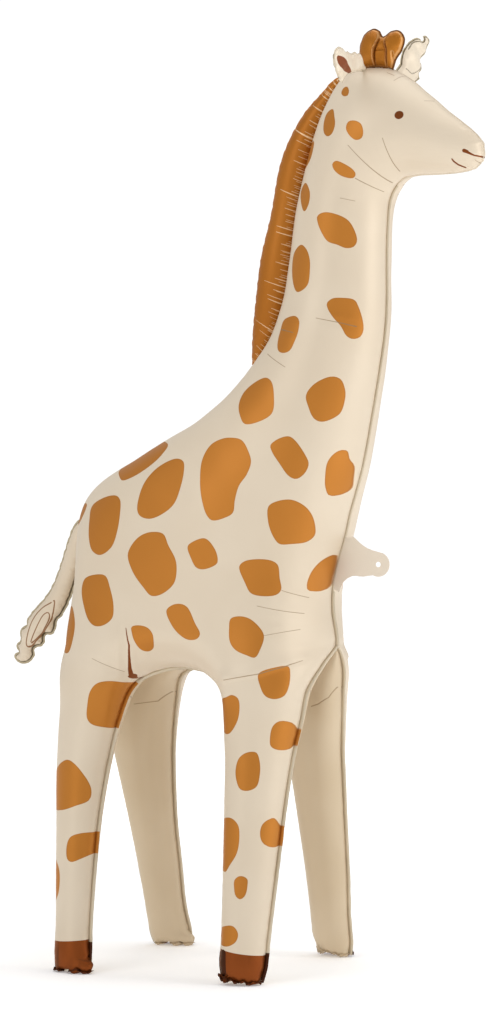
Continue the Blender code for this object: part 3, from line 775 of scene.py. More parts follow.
# %% Spots
SPOTS = {
    "behind_ear": ((346.8, 86.5), (349.1, 91), (347.7, 95.5), (344, 96.3), (341.5, 93.5), (343.1, 89)),
    "nape_top": ((332.8, 109), (334.2, 116), (334.9, 124.5), (332, 133.5), (327.8, 136.4), (324, 133),
        (323.6, 124), (326.8, 113.5)),
    "cheek": ((354.7, 120.6), (361, 123.8), (363.4, 132), (361.7, 138), (356, 140), (349.8, 135.7),
        (346, 128), (348.4, 121.7)),
    "mane_sliver": ((313.8, 141.3), (312.8, 149.7), (309.6, 160.8), (305, 168.5), (299, 166), (303, 148)),
    "throat": ((332.4, 163.6), (335.9, 160.8), (342.8, 163), (352.6, 169.2), (355.7, 174), (353.3, 178),
        (344.2, 177), (336.6, 172.7), (333, 168)),
    "nape_slim": ((305.2, 182.7), (309.5, 191.3), (308.7, 203.4), (304.4, 211.5), (301.3, 205),
        (300.9, 191.3)),
    "neck_upper": ((317.3, 216.3), (323.3, 212.5), (333.7, 213.4), (347.4, 219.7), (354.3, 230),
        (356.9, 241.3), (353.5, 246.8), (346.6, 248.2), (337.1, 244.7), (327.6, 241.3), (321.6, 232.7),
        (317.6, 222.3)),
    "nape_long": ((300.9, 244.7), (306.1, 249), (309.5, 258.5), (309.9, 270.5), (307.8, 284.3),
        (302.3, 290.3), (297, 292), (294, 286), (292.3, 270.5), (294, 253.3)),
    "neck_middle": ((326.8, 303.3), (331.9, 298.6), (342.3, 297.8), (354.3, 299.8), (358.6, 306.7),
        (362.9, 320.5), (363.4, 330.8), (359.5, 337.4), (352.6, 339), (346.6, 336), (340.5, 325.7),
        (332.8, 317), (327.6, 308.4)),
    "neck_back": ((283.7, 320.5), (288.9, 317), (295.8, 316.2), (299.2, 320.5), (298.4, 330.8), (294, 343),
        (289.7, 350.6), (283.7, 353), (278.5, 351), (277.3, 344.6), (280.3, 330.8)),
    "shoulder_back": ((266.5, 377.7), (271.6, 382), (274, 394.3), (272.4, 412.7), (261.2, 420.8),
        (244.9, 424), (240.4, 416.7), (238.8, 404.5), (243.9, 392.2), (257, 381)),
    "neck_base": ((331.9, 376.5), (340.5, 379), (345.2, 389.4), (344.9, 400.4), (338.8, 414.7),
        (322.4, 421.8), (314.3, 418.8), (308.2, 406.5), (306, 395.3), (314.3, 384)),
    "kidney": ((230.6, 437.6), (241.8, 440.2), (248, 450.4), (251, 461.6), (246.9, 474), (238.8, 486),
        (234.7, 500.4), (232.7, 512.7), (224.5, 517.8), (212.2, 520.4), (207, 515.7), (202, 500.4),
        (200, 480), (202, 459.6), (210.2, 445.3), (220.4, 439.2)),
    "shoulder": ((270.4, 445.3), (277.6, 439.2), (288.8, 436.3), (294.9, 440.2), (305, 454.5),
        (308.6, 463.7), (304, 474), (296, 479), (288.8, 476), (279.6, 463.7), (271.8, 451.4)),
    "chest_top": ((342.9, 449.8), (346.9, 450.4), (350, 459.6), (354, 464.7), (353.7, 478), (350, 490.2),
        (340.8, 494.7), (329.6, 495.7), (325.5, 488.2), (325, 476), (327.6, 461.6), (335.7, 452.4)),
    "shoulder_low": ((268.4, 506.5), (276.5, 501.4), (291.8, 499.8), (304, 505.5), (311.2, 513.7),
        (315.3, 527), (314.3, 536), (306, 542.2), (291.8, 544), (279.6, 544), (273.5, 537), (268.4, 523)),
    "flank_front": ((239.2, 566.7), (243.9, 561.6), (256, 559.2), (271.4, 560.6), (277.6, 564.7),
        (279.6, 578), (281, 590), (276.5, 594.7), (265.3, 596.3), (251, 593.3), (245, 583)),
    "chest_leaf": ((335.7, 554.5), (337.3, 559.6), (333.7, 576), (326.5, 589.2), (320.4, 591.2),
        (308.2, 590.6), (306.7, 586), (310.2, 574), (320.4, 561.6)),
    "belly_front": ((230.6, 618.8), (238.8, 616.3), (249, 618.4), (259.2, 627), (264, 636), (260.2, 649.4),
        (255, 657.6), (247, 655.5), (234.7, 649.4), (229.6, 641.2), (229, 629)),
    "leg_top": ((258.5, 674), (274.6, 667.5), (288.4, 666.4), (290.2, 672), (289, 686), (283.8, 696.2),
        (274.6, 699.2), (265.4, 696.2), (260, 686)),
    "back_ridge": ((168, 446), (161.2, 455.5), (149, 466.7), (134.7, 476), (122.4, 480.4), (119.8, 477),
        (121, 468), (131, 460), (146, 451), (158, 443)),
    "rump_top": ((177.6, 458.6), (183.3, 461.6), (183.7, 471.8), (179.6, 490.2), (173.5, 504.5),
        (161.2, 514.7), (149, 518.8), (139.8, 515.7), (137.3, 509.6), (139.8, 494.3), (145, 482),
        (155, 469.8), (167.3, 461.6)),
    "rump_back": ((116.3, 495.7), (120.4, 500.4), (120.4, 512.7), (117.3, 531), (111.2, 547.3), (100, 555),
        (91.8, 550.4), (88.8, 539.2), (89.2, 520.8), (91.8, 506.5), (102, 498.4)),
    "thigh_big": ((151, 532), (163.3, 534), (168.4, 545.3), (175.5, 559.6), (176.5, 571.8), (173.5, 584),
        (161.2, 594.3), (151, 595.7), (143, 587), (132.7, 571.8), (127.6, 554.5), (132.7, 543.3),
        (140.8, 535.5)),
    "flank_small": ((187.8, 546.3), (194, 541.2), (204, 538.2), (209.2, 541.2), (216.3, 552.4),
        (217.3, 562.7), (212.2, 566.7), (202, 569.4), (196, 567.3), (190.8, 557.6)),
    "thigh_back": ((98, 574.3), (106, 576.3), (110.2, 588.2), (113.3, 604.5), (112.2, 617.8), (104, 625),
        (95, 626), (88.8, 620.8), (83.7, 606.5), (81.6, 590.2), (84.7, 579)),
    "belly_slanted": ((166.3, 610.6), (172.4, 605), (181.6, 604), (187.8, 607.6), (195, 623), (200, 634),
        (197, 638.8), (187.8, 639.8), (179.6, 635), (171.4, 625)),
    "belly_back": ((131.6, 627), (138.8, 625.3), (148, 628), (153, 635), (153.7, 647.3), (148, 651.4),
        (140.8, 649.4), (134.7, 641.2), (132.2, 633)),
    "tail_wedge": ((72.4, 606.5), (75, 620.8), (73.5, 637), (68.4, 652.4), (63.7, 648.4), (60, 634),
        (65, 614)),
    "tail_sliver": ((87.2, 504.5), (86, 509), (81.4, 519), (77.6, 525.5), (75, 524), (76, 515), (81, 506)),
    "knee_back": ((90, 691.7), (96.6, 683.6), (110.3, 681), (137, 682.7), (149, 684), (137, 712),
        (118.4, 727), (103.5, 727.2), (91, 723.8), (87, 718), (87.4, 704.3)),
    "shin_triangle": ((66.7, 759.8), (74.8, 764), (87.4, 780), (91.5, 791.5), (88.5, 800.7), (76, 805.7),
        (62, 810), (52, 806), (51, 780)),
    "shin_slanted": ((66.7, 846.6), (70.2, 837.4), (80.5, 833.3), (98.2, 831.7), (104, 833), (102, 851),
        (96.6, 852.3), (82.8, 858), (71.3, 862), (67.2, 859)),
    "shin_edge": ((55.7, 860.4), (58.7, 867.3), (59.8, 880), (58, 894.8), (55, 899), (50, 893), (50, 868)),
    "front_edge_top": ((226.4, 697), (232, 695), (238, 698.5), (239.5, 709), (236.7, 722.6), (228.7, 734),
        (222, 728), (219, 712), (221, 701)),
    "front_knee": ((270, 738.7), (273, 726), (280.3, 721), (291.8, 722.6), (298, 728.4), (296.4, 741),
        (289.5, 749), (279.2, 750.2), (271.2, 746.7)),
    "front_shin": ((235.6, 769.7), (239, 758.2), (247, 752.5), (256.2, 752.5), (259.7, 761.7),
        (259.7, 775.4), (256.2, 787), (248.2, 790.8), (240.2, 789.2), (236.3, 780)),
    "front_edge_low": ((231, 818), (238, 824.8), (239.5, 837.4), (236.7, 853.5), (229.8, 865), (225, 872),
        (218, 862), (217, 838), (222, 822)),
    "front_pointed": ((260, 834), (263, 823.7), (273.5, 818), (282.2, 827), (282.6, 836.3), (279.2, 846.2),
        (271.2, 847.3), (263, 843.2)),
    "front_small": ((234.4, 880), (240.2, 876), (247, 878.7), (247.5, 885.6), (244.8, 896), (240.2, 899.4),
        (235.6, 896), (234, 888)),
    "front_low": ((226.4, 925.8), (233.3, 926.5), (238, 933.8), (235.6, 942), (227.5, 946.5), (221, 943),
        (220, 930)),
}
SPOT_STEP = 0.002
SPOT_MARGIN = 0.012


def inside_distance(outline, points):
    """How far each point lies inside a closed outline; negative outside, and capped far away."""
    reach = np.full(len(points), -SPOT_MARGIN)
    close = ((points > outline.min(0) - SPOT_MARGIN) & (points < outline.max(0) + SPOT_MARGIN)).all(1)
    distance = weld_side(outline, points[close])[0]
    reach[close] = np.maximum(np.where(inside(outline, points[close]), distance, -distance), -SPOT_MARGIN)
    return reach


FAR_SHIFT = {"knee_back": 0.030, "shin_slanted": 0.012, "front_knee": 0.022, "front_pointed": 0.016,
             "chest_top": 0.006, "chest_leaf": 0.004}
FAR_MARGIN = 0.012
OVER_THE_BACK = ("back_ridge",)
spot_edge = np.full(len(body_points), -SPOT_MARGIN)
outer_vertices = np.flatnonzero(vertex_outer >= 0)
for name, spot in SPOTS.items():
    seen = [pixel for pixel in spot if near_film.ray_cast(camera.location, sight_line(pixel))[0]]
    home = np.mean(seen, axis=0)
    outline = smooth_line([on_film(pixel, home) for pixel in spot], SPOT_STEP)
    hull = outline[convex_hull_2d([tuple(p) for p in outline])]
    reach = inside_distance(hull if name in OVER_THE_BACK else outline, vertex_flat[outer_vertices])
    if name in FAR_SHIFT:
        moved = inside_distance(hull, vertex_flat[outer_vertices] + (FAR_SHIFT[name], 0))
        moved = np.minimum(moved, depth[vertex_outer[outer_vertices]] - FAR_MARGIN)
        reach = np.where(vertex_side[outer_vertices] > 0, moved, reach)
    spot_edge[outer_vertices] = np.maximum(spot_edge[outer_vertices], reach)
print(len(SPOTS), "spots printed on", int((spot_edge > 0).sum()), "points")

# %% Hoof print
HOOF_TOP = {"hind": ((58, 941), (90, 939)), "front": ((227, 951.5), (262, 955.6))}
hoof_edge = np.full(len(body_points), -SPOT_MARGIN)
for leg, ends in HOOF_TOP.items():
    (x1, z1), (x2, z2) = line_on_film(*ends)
    on_leg = (vertex_flat[:, 0] < ARCH_MIDDLE * MIL) == (leg == "hind")
    chosen = on_leg & (vertex_outer >= 0)
    line = z1 + (vertex_flat[:, 0] - x1) * (z2 - z1) / (x2 - x1)
    hoof_edge[chosen] = np.clip(line - vertex_flat[:, 1], -SPOT_MARGIN, SPOT_MARGIN)[chosen]
    print(leg, "hoof printed up to", round((z1 + z2) / 2, 4), "m")

# %% [markdown]
# ## Folds
#
# A fold is a shallow trench with a soft lip on each side. Here it only moves the film by a millimetre or
# two, because the mesh is four millimetres wide; the hair-thin dark line in its middle is painted shade,
# left to the material. A step fold is another thing: the film above it hangs over the film below, as where
# the front leg is sewn to the chest. The soles are lifted in uneven teeth, and the near hind foot sticks out
# its toe.

# %% Folds in the film
LIFT = 0.0070
LIFT_LENGTH = 0.023
LIFT_SWAY = 1.7
LIFT_SWAY_LENGTH = 0.041
LIFT_FADE = 0.016
TOE_START = -150
TOE_RUN = 0.045
TOE_HEIGHT = 0.014
TOE_REACH = 0.0105
TOE_INNER_SHARE = 0.3
FOLD_LINES = {
    "toe": ((80.5, 959.5), (92, 960.5), 0.0030),
    "jaw": ((378.5, 130), (400, 172), 0.0012),
    "cheek": ((345.6, 142.7), (391.7, 182.5), 0.0012),
    "throat": ((355.4, 178.3), (383.4, 191.6), 0.0010),
    "throat_faint": ((337, 197), (359.5, 202), 0.0006),
    "neck_middle": ((316, 318), (356, 326.5), 0.0014),
    "neck_back": ((281, 330), (296, 333), 0.0014),
    "mane_tip": ((266.5, 353), (289, 369.5), 0.0009),
    "hip": ((87, 656), (129, 673), 0.0010),
    "chest_1": ((255, 605.5), (308, 614), 0.0007),
    "chest_2": ((281.6, 590), (310, 598), 0.0008),
    "chest_3": ((285, 575), (311, 584), 0.0007),
    "chest_4": ((263, 622), (303, 619), 0.0006),
    "chest_5": ((262, 636), (302, 629), 0.0007),
    "chest_6": ((262, 646), (303, 638), 0.0007),
    "chest_7": ((258, 654), (300, 648), 0.0007),
    "slit": ((126, 628), (131.5, 679), 0.0045),
}
STEP_LINES = {
    "shoulder": ((224.5, 680), (259, 674), (303, 661)),
}
FOLD_WIDTH = 0.0045
FOLD_LIP = 0.45
LIP_PLACE = 2.2 * FOLD_WIDTH
LIP_WIDTH = 1.3 * FOLD_WIDTH
STEP_HEIGHT = 0.0030
STEP_WIDTH = 0.016
STEP_DROP = 0.002
STEP_END = 0.006


def along_line(points, start, end):
    """For points of the side view: share along a line, signed distance from it, distance past its ends."""
    way = end - start
    length = np.linalg.norm(way)
    share = ((points - start) @ way) / length**2
    off = ((points - start) @ np.array((-way[1], way[0]))) / length
    past = np.maximum(np.maximum(-share, share - 1), 0) * length
    return np.clip(share, 0, 1), off, past


def fold_move(points):
    """How far the folds move the film outwards, at points of the side view."""
    move = np.zeros(len(points))
    for start, end, fold_depth in FOLD_LINES.values():
        share, off, past = along_line(points, *line_on_film(start, end))
        taper = np.exp(-((past / FOLD_WIDTH) ** 2)) * (0.35 + 0.65 * np.sin(np.pi * share))
        trench = np.exp(-((off / FOLD_WIDTH) ** 2))
        lips = np.exp(-(((np.abs(off) - LIP_PLACE) / LIP_WIDTH) ** 2))
        move += fold_depth * taper * (FOLD_LIP * lips - trench)
    for corners in STEP_LINES.values():
        middle = np.mean(corners, axis=0)
        places = [on_film(corner, middle) for corner in corners]
        for start, end in zip(places, places[1:]):
            share, off, past = along_line(points, start, end)
            above = np.exp(-((off / np.where(off > 0, STEP_WIDTH, STEP_DROP)) ** 2))
            move = np.maximum(move, STEP_HEIGHT * above * np.exp(-((past / STEP_END) ** 2)))
    return move


def swell(points):
    """Slow unevenness of the whole skin."""
    x, y, z = points.T
    waves = np.sin(31 * x + 17 * z + 3 * np.sin(11 * z)) * np.sin(23 * z - 13 * x + 20 * y)
    return waves + 0.6 * np.sin(61 * z + 29 * x + 15 * y) * np.sin(47 * x - 19 * y)


SWELL = 0.0005
SWELL_CLEAR = 0.03


def normals_of(points, faces):
    """Even normals at the points of a closed mesh."""
    a, b, c = (points[faces[:, k]] for k in range(3))
    area = np.cross(b - a, c - a)
    corners = faces.ravel()
    total = [np.bincount(corners, np.repeat(area[:, k], 3), len(points)) for k in range(3)]
    total = np.stack(total, axis=1)
    return total / np.maximum(np.linalg.norm(total, axis=1), 1e-12)[:, None]


def uneven_teeth(forward, length, sway, sway_length):
    """A wave along the balloon whose teeth are never quite alike."""
    return np.sin(math.tau * forward / length + sway * np.sin(math.tau * forward / sway_length))


inner_along = weld_side(weld_line, inner_flat)[1]
is_outer = vertex_outer >= 0
number = np.where(is_outer, vertex_outer, -1 - vertex_outer)
off_weld = np.empty(len(body_points))
place_along = np.empty(len(body_points))
off_weld[is_outer] = (outer_reach - weld_reach)[number[is_outer]]
off_weld[~is_outer] = inner_thickness[number[~is_outer]]
place_along[is_outer] = along_weld[number[is_outer]]
place_along[~is_outer] = inner_along[number[~is_outer]]
move = pucker(place_along, off_weld, 1)
move *= 1 - CALM_SHARE * ease((vertex_flat[:, 1] - CALM_FROM * MIL) / ((CALM_TO - CALM_FROM) * MIL))
move[~is_outer] = pucker(place_along[~is_outer], off_weld[~is_outer], 2)
move[is_outer] += fold_move(vertex_flat[is_outer])
move += SWELL * swell(body_points) * (1 - np.exp(-((off_weld / SWELL_CLEAR) ** 2)))
valley = VALLEY_DEPTH * (1 - CALM_SHARE * ease((vertex_flat[:, 1] - FACE_FROM * MIL) / (FACE_FADE * MIL)))
move -= valley * np.exp(-((off_weld / VALLEY_WIDTH) ** 2))
body_shape = body_points + normals_of(body_points, body_faces) * move[:, None]
body_shape[vertex_side == 0, 1] = 0
body_shape[:, 2] = np.maximum(body_shape[:, 2], 0)
foot_lift = uneven_teeth(body_shape[:, 0], LIFT_LENGTH, LIFT_SWAY, LIFT_SWAY_LENGTH)
body_shape[:, 2] += LIFT * np.clip(foot_lift, 0, 1) * (1 - ease(body_shape[:, 2] / LIFT_FADE))
toe = ease((vertex_flat[:, 0] - TOE_START * MIL) / TOE_RUN)
toe *= 1 - ease((vertex_flat[:, 1] - TOE_HEIGHT) / TOE_HEIGHT)
toe[vertex_flat[:, 0] > ARCH_MIDDLE * MIL] = 0
toe[is_outer & (number >= rim) & (vertex_side > 0)] = 0
toe[~is_outer & (vertex_side < 0)] *= TOE_INNER_SHARE
body_shape[:, 0] += TOE_REACH * toe
print("folds:", len(FOLD_LINES), "trenches; film moved by", round(move.min() * 1000, 1), "to",
      round(move.max() * 1000, 1), "mm")


# %% Build a mesh object from arrays
def keep_values(mesh, values):
    """Keeps one number for every point of a mesh under each attribute's name."""
    for attribute, numbers in values.items():
        layer = mesh.attributes.new(attribute, "FLOAT", "POINT")
        layer.data.foreach_set("value", np.asarray(numbers, np.float32))


def points_of(thing):
    """The points of a mesh object, a row of x, y and z for each."""
    places = np.empty(3 * len(thing.data.vertices))
    thing.data.vertices.foreach_get("co", places)
    return places.reshape(-1, 3)


def mesh_object(name, points, faces, values):
    """A smooth-shaded mesh object with its values kept at the points."""
    mesh = bpy.data.meshes.new(name)
    mesh.from_pydata([tuple(p) for p in points], [], [tuple(map(int, face)) for face in faces])
    mesh.shade_smooth()
    keep_values(mesh, values)
    mesh.update()
    thing = bpy.data.objects.new(name, mesh)
    bpy.context.scene.collection.objects.link(thing)
    return thing


body_film = mesh_object("body_film", body_shape, body_faces, {"spot_edge": spot_edge, "hoof_edge": hoof_edge})
inner_panel = np.arange(len(body_faces)) >= outer_face_count
body_film.data.polygons.foreach_set("material_index", inner_panel.astype(np.int32))
print("body_film:", len(body_film.data.polygons), "faces")

# %% [markdown]
# ## Materials for printed foil
#
# Three effects come back in every finish, so each is a shader node group. One gives the skin of the film:
# a fine crinkle for the bump and a slow change of tone. One turns the distance from a print's edge into a
# clean mask, with the darker line that ink leaves just inside its edge. One draws a thin stroke between
# two points. The groups give only masks, values and heights; the shader itself stays in each material.

# %% Helpers for node groups
def group_tree(name, inputs, outputs):
    """An empty node group with named sockets; inputs are name: (kind, default), outputs are names."""
    tree = bpy.data.node_groups.new(name, "ShaderNodeTree")
    for label, (kind, default) in inputs.items():
        tree.interface.new_socket(label, in_out="INPUT", socket_type=kind).default_value = default
    for label in outputs:
        tree.interface.new_socket(label, in_out="OUTPUT", socket_type="NodeSocketFloat")
    return tree, node(tree, "NodeGroupInput").outputs, node(tree, "NodeGroupOutput").inputs


def use_group(tree, group, **values):
    made = node(tree, "ShaderNodeGroup", node_tree=group)
    feed_all(tree, made, {label.replace("_", " "): value for label, value in values.items()})
    return made.outputs


FLOAT = "NodeSocketFloat"
VECTOR = "NodeSocketVector"
STREAKS = (420, 420, 9)

# %% Group: the film's skin
film_skin, given, result = group_tree("film_skin", {
    "Place": (VECTOR, (0, 0, 0)), "Crinkle Size": (FLOAT, 0.012), "Crinkle Height": (FLOAT, 0.0003),
    "Streak Height": (FLOAT, 0.00004)}, ["Height", "Tone"])
tree = film_skin
per_size = maths(tree, "DIVIDE", 1.0, given["Crinkle Size"])
crinkle = noise(tree, given["Place"], per_size, Detail=3.0, Roughness=0.45)
streak = noise(tree, vector_maths(tree, "MULTIPLY", given["Place"], STREAKS), 1.0, Detail=2.0)
broad = noise(tree, given["Place"], 7.0, Detail=2.0)
ripple = product(tree, crinkle, given["Crinkle Height"])
brushed = product(tree, streak, given["Streak Height"])
feed(tree, result["Height"], maths(tree, "ADD", ripple, brushed))
feed(tree, result["Tone"], smooth_step(tree, broad, 0.30, 0.70))

# %% Group: the edge of a print
print_edge, given, result = group_tree("print_edge", {
    "Inside": (FLOAT, 0.0), "Softness": (FLOAT, 0.0004), "Line": (FLOAT, 0.0018)}, ["Mask", "Line", "Halo"])
tree = print_edge
mask = smooth_step(tree, given["Inside"], product(tree, given["Softness"], -1.0), given["Softness"])
fade_in = smooth_step(tree, given["Inside"], given["Line"], 0.0)
halo = smooth_step(tree, given["Inside"], product(tree, given["Line"], -1.0), 0.0)
feed(tree, result["Mask"], mask)
feed(tree, result["Line"], product(tree, mask, fade_in))
feed(tree, result["Halo"], product(tree, halo, maths(tree, "SUBTRACT", 1.0, mask)))

# %% Group: a thin stroke in the side view
thin_stroke, given, result = group_tree("thin_stroke", {
    "Place": (VECTOR, (0, 0, 0)), "Start": (VECTOR, (0, 0, 0)), "End": (VECTOR, (0, 0, 0)),
    "Start Width": (FLOAT, 0.001), "End Width": (FLOAT, 0.001), "Softness": (FLOAT, 0.0005)}, ["Mask"])
tree = thin_stroke
way = vector_maths(tree, "SUBTRACT", given["End"], given["Start"])
flat_place = vector_maths(tree, "MULTIPLY", given["Place"], (1, 0, 1))
passed = vector_maths(tree, "SUBTRACT", flat_place, given["Start"])
share = maths(tree, "DIVIDE", vector_maths(tree, "DOT_PRODUCT", passed, way),
              vector_maths(tree, "DOT_PRODUCT", way, way), clamp=True)
gap = vector_maths(tree, "LENGTH", vector_maths(tree, "SUBTRACT", passed, scale_vector(tree, way, share)))
growth = maths(tree, "SUBTRACT", given["End Width"], given["Start Width"])
half = product(tree, maths(tree, "MULTIPLY_ADD", growth, share, given["Start Width"]), 0.5)
beyond = maths(tree, "SUBTRACT", gap, half)
feed(tree, result["Mask"], smooth_step(tree, beyond, given["Softness"], 0.0))
print("shader groups:", [group.name for group in bpy.data.node_groups])

# %% Colours of the inks, of the plain film and of painted shade
EDGE_TINT = (0.72, 0.62, 0.50, 1)
CREAM = (0.690, 0.583, 0.448, 1)
CREAM_PALE = (0.715, 0.612, 0.478, 1)
# The two plain creams are the inner film's colour, made darker than the printed cream: partly its own tone,
# partly painted shade for the inside of the legs.
PLAIN_CREAM_SHADED = (0.605, 0.482, 0.328, 1)
PLAIN_PALE_SHADED = (0.642, 0.521, 0.366, 1)
SPOT_ORANGE = (0.500, 0.190, 0.031, 1)
SPOT_DARK = (0.330, 0.130, 0.028, 1)
SPOT_HALO = (0.830, 0.660, 0.440, 1)
HOOF_BROWN = (0.250, 0.062, 0.012, 1)
HOOF_DARK = (0.060, 0.016, 0.006, 1)
HOOF_EDGE = (0.130, 0.034, 0.010, 1)
LINE_BROWN = (0.200, 0.055, 0.014, 1)
FOLD_SHADE_BROWN = (0.300, 0.200, 0.110, 1)

# %% [markdown]
# ## Face and fold lines
#
# The eye is a round dot, and the nostril and the mouth are printed strokes. The folds, the slit by the
# hind leg, the toe's crease and the heel are strokes of painted shade. A stroke is drawn by the group above
# between two places on the film, so it stays hair-thin whatever the mesh. Its ends are again pixels of the
# picture, carried onto the film by the sight lines.

# %% Strokes on the body
EYE = (399, 115)
EYE_WIDTH = 0.0130
MM = 0.001
FACE_STROKES = {
    "nostril": ((464.2, 150.6), (466.8, 151.6), 5.6 * MM, 5.0 * MM),
    "nostril_line_1": ((467, 152), (474, 155.3), 4.0 * MM, 2.0 * MM),
    "nostril_line_2": ((474, 155.3), (482.5, 157), 2.0 * MM, 2.2 * MM),
    "mouth_1": ((452, 159), (453.6, 161.2), 1.6 * MM, 2.3 * MM),
    "mouth_2": ((453.6, 161.2), (458.3, 164.7), 2.3 * MM, 2.2 * MM),
    "mouth_3": ((458.3, 164.7), (465.5, 167.5), 2.2 * MM, 1.6 * MM),
}
# Painted shade: the slit where the near hind leg meets the belly and the toe's crease are dark strokes; the
# slit's brown is partly a spot hidden in the fold.
CREASE_SHADE_STROKES = {
    "slit_1": ((126, 628), (129.6, 645), 0.8 * MM, 3.0 * MM),
    "slit_2": ((129.6, 645), (131.8, 676), 3.0 * MM, 5.5 * MM),
    "slit_foot": ((131.5, 677), (135.5, 674.5), 6.0 * MM, 2.5 * MM),
    "toe_crease": ((79, 959.2), (90.5, 960.3), 0.6 * MM, 2.0 * MM),
}
# Painted shade: a dark strip at the heel of the near front foot, where the leg turns away from the light.
HEEL_SHADE_STROKES = {
    "heel_shade": ((223.0, 953.5), (222.8, 972), 12.0 * MM, 14.0 * MM),
}
# Painted shade: each fold's hair-thin dark line, drawn as a brown stroke.
FOLD_SHADE_STROKES = {
    "jaw_line": ((382.5, 138), (399.5, 171), 0.5 * MM, 1.1 * MM),
    "cheek_line": ((348, 145), (391.5, 182.3), 0.4 * MM, 1.2 * MM),
    "throat_line": ((355.4, 178.3), (383.4, 191.6), 1.0 * MM, 0.6 * MM),
    "throat_faint_line": ((340, 198), (355, 201), 0.3 * MM, 0.3 * MM),
    "neck_line": ((316, 318), (339, 322.5), 0.5 * MM, 0.9 * MM),
    "neck_line_in_spot": ((339, 322.5), (356, 326.5), 0.9 * MM, 1.5 * MM),
    "neck_back_line": ((281.5, 329.5), (293, 332.5), 1.6 * MM, 0.6 * MM),
    "mane_tip_line": ((267.5, 354), (285, 367), 0.8 * MM, 0.4 * MM),
    "hip_line": ((92, 658.5), (124, 671.5), 0.3 * MM, 0.4 * MM),
    "shoulder_line_1": ((224.5, 680), (259, 674), 0.7 * MM, 1.2 * MM),
    "shoulder_line_2": ((259, 674), (284, 667), 1.2 * MM, 1.3 * MM),
    "shoulder_line_3": ((284, 667), (304, 660.5), 1.3 * MM, 0.3 * MM),
    "chest_line_1": ((257, 606), (304, 613.5), 0.4 * MM, 0.5 * MM),
    "chest_line_2": ((282, 590.5), (309, 597.5), 0.5 * MM, 0.4 * MM),
    "chest_line_5": ((264, 635.7), (300, 629.5), 0.3 * MM, 0.3 * MM),
    "lip_line": ((475, 160), (480, 163.2), 0.4 * MM, 0.4 * MM),
    "brow_line": ((424, 100.8), (434, 101.2), 0.2 * MM, 0.3 * MM),
    "crown_line_1": ((394, 80.6), (404, 76.2), 0.3 * MM, 0.4 * MM),
    "crown_line_2": ((387, 72.6), (394, 75.4), 0.3 * MM, 0.2 * MM),
}
# Painted shade of the folds on the inner film.
INNER_FOLD_SHADE_STROKES = {
    "inner_knee_1": ((311.5, 706.3), (318, 704), 1.2 * MM, 1.4 * MM),
    "inner_knee_2": ((318, 704), (328.5, 697.5), 1.4 * MM, 1.0 * MM),
    "inner_knee_3": ((328.5, 697.5), (337.5, 687), 1.0 * MM, 0.5 * MM),
    "inner_thigh_1": ((134, 704), (158, 701), 0.8 * MM, 1.2 * MM),
    "inner_thigh_2": ((158, 701), (178, 691), 1.2 * MM, 0.6 * MM),
}


def strokes_mask(tree, place, strokes, ends_of=line_on_film):
    """All strokes of a list in one mask."""
    total = 0.0
    for start, end, start_width, end_width in strokes.values():
        (x1, z1), (x2, z2) = ends_of(start, end)
        mask = use_group(tree, thin_stroke, Place=place, Start=(x1, 0, z1), End=(x2, 0, z2),
                         Start_Width=start_width, End_Width=end_width)["Mask"]
        total = greatest(tree, total, mask)
    return total


# %% Foil and its shader
FILM_METAL = 0.12
FILM_SHADER = {"Coat Weight": 0.05, "Coat Roughness": 0.22, "Specular IOR Level": 0.2,
               "Specular Tint": EDGE_TINT}
BUMP_STRENGTH = 0.5


def foil_material(name, roughness, metallic=FILM_METAL):
    """A material with its shader ready for a film; what is the same all over is set on the shader."""
    material = bpy.data.materials.new(name)
    material.use_nodes = True
    tree = material.node_tree
    shader = tree.nodes["Principled BSDF"]
    feed_all(tree, shader, {"Roughness": roughness, "Metallic": metallic, **FILM_SHADER})
    return material, tree, shader


def film_look(tree, crinkle_size, crinkle_height):
    """The film's skin with crinkles of a size and a height."""
    return use_group(tree, film_skin, Place=object_place(tree), Crinkle_Size=crinkle_size,
                     Crinkle_Height=crinkle_height)


def paint(tree, shader, colour, height):
    """Gives the shader its colour, and a bump from a height."""
    bump = node(tree, "ShaderNodeBump", {"Strength": BUMP_STRENGTH, "Distance": 1.0, "Height": height})
    feed_all(tree, shader, {"Base Color": colour, "Normal": bump.outputs["Normal"]})


def two_tone_foil(name, roughness, metallic, crinkle_size, crinkle_height, first, second):
    """A finished material whose colour only wanders between two tones."""
    material, tree, shader = foil_material(name, roughness, metallic)
    skin = film_look(tree, crinkle_size, crinkle_height)
    paint(tree, shader, mix_colours(tree, skin["Tone"], first, second), skin["Height"])
    return material


def attribute_value(tree, name):
    return node(tree, "ShaderNodeAttribute", attribute_name=name).outputs["Fac"]


# %% Printed film of the body
HOOF_SHADE_STREAKS = (70, 45, 9)
LINE_GROOVE = 0.0006

printed, tree, shader = foil_material("printed_cream_foil", 0.42)
place = object_place(tree)
skin = film_look(tree, 0.016, 0.0002)
spot = use_group(tree, print_edge, Inside=attribute_value(tree, "spot_edge"))
hoof = use_group(tree, print_edge, Inside=attribute_value(tree, "hoof_edge"))
face_mask = strokes_mask(tree, place, FACE_STROKES)
eye_x, eye_z = on_film(EYE)
eye_mask = use_group(tree, thin_stroke, Place=place, Start=(eye_x, 0, eye_z),
                     End=(eye_x, 0, eye_z + 0.1 * MM), Start_Width=EYE_WIDTH, End_Width=EYE_WIDTH)["Mask"]
crease_shade_mask = strokes_mask(tree, place, CREASE_SHADE_STROKES)
heel_shade_mask = strokes_mask(tree, place, HEEL_SHADE_STROKES)
fold_shade_mask = strokes_mask(tree, place, FOLD_SHADE_STROKES)
colour = mix_colours(tree, skin["Tone"], CREAM, CREAM_PALE)
colour = mix_colours(tree, product(tree, spot["Halo"], 0.35), colour, SPOT_HALO)
colour = mix_colours(tree, spot["Mask"], colour, SPOT_ORANGE)
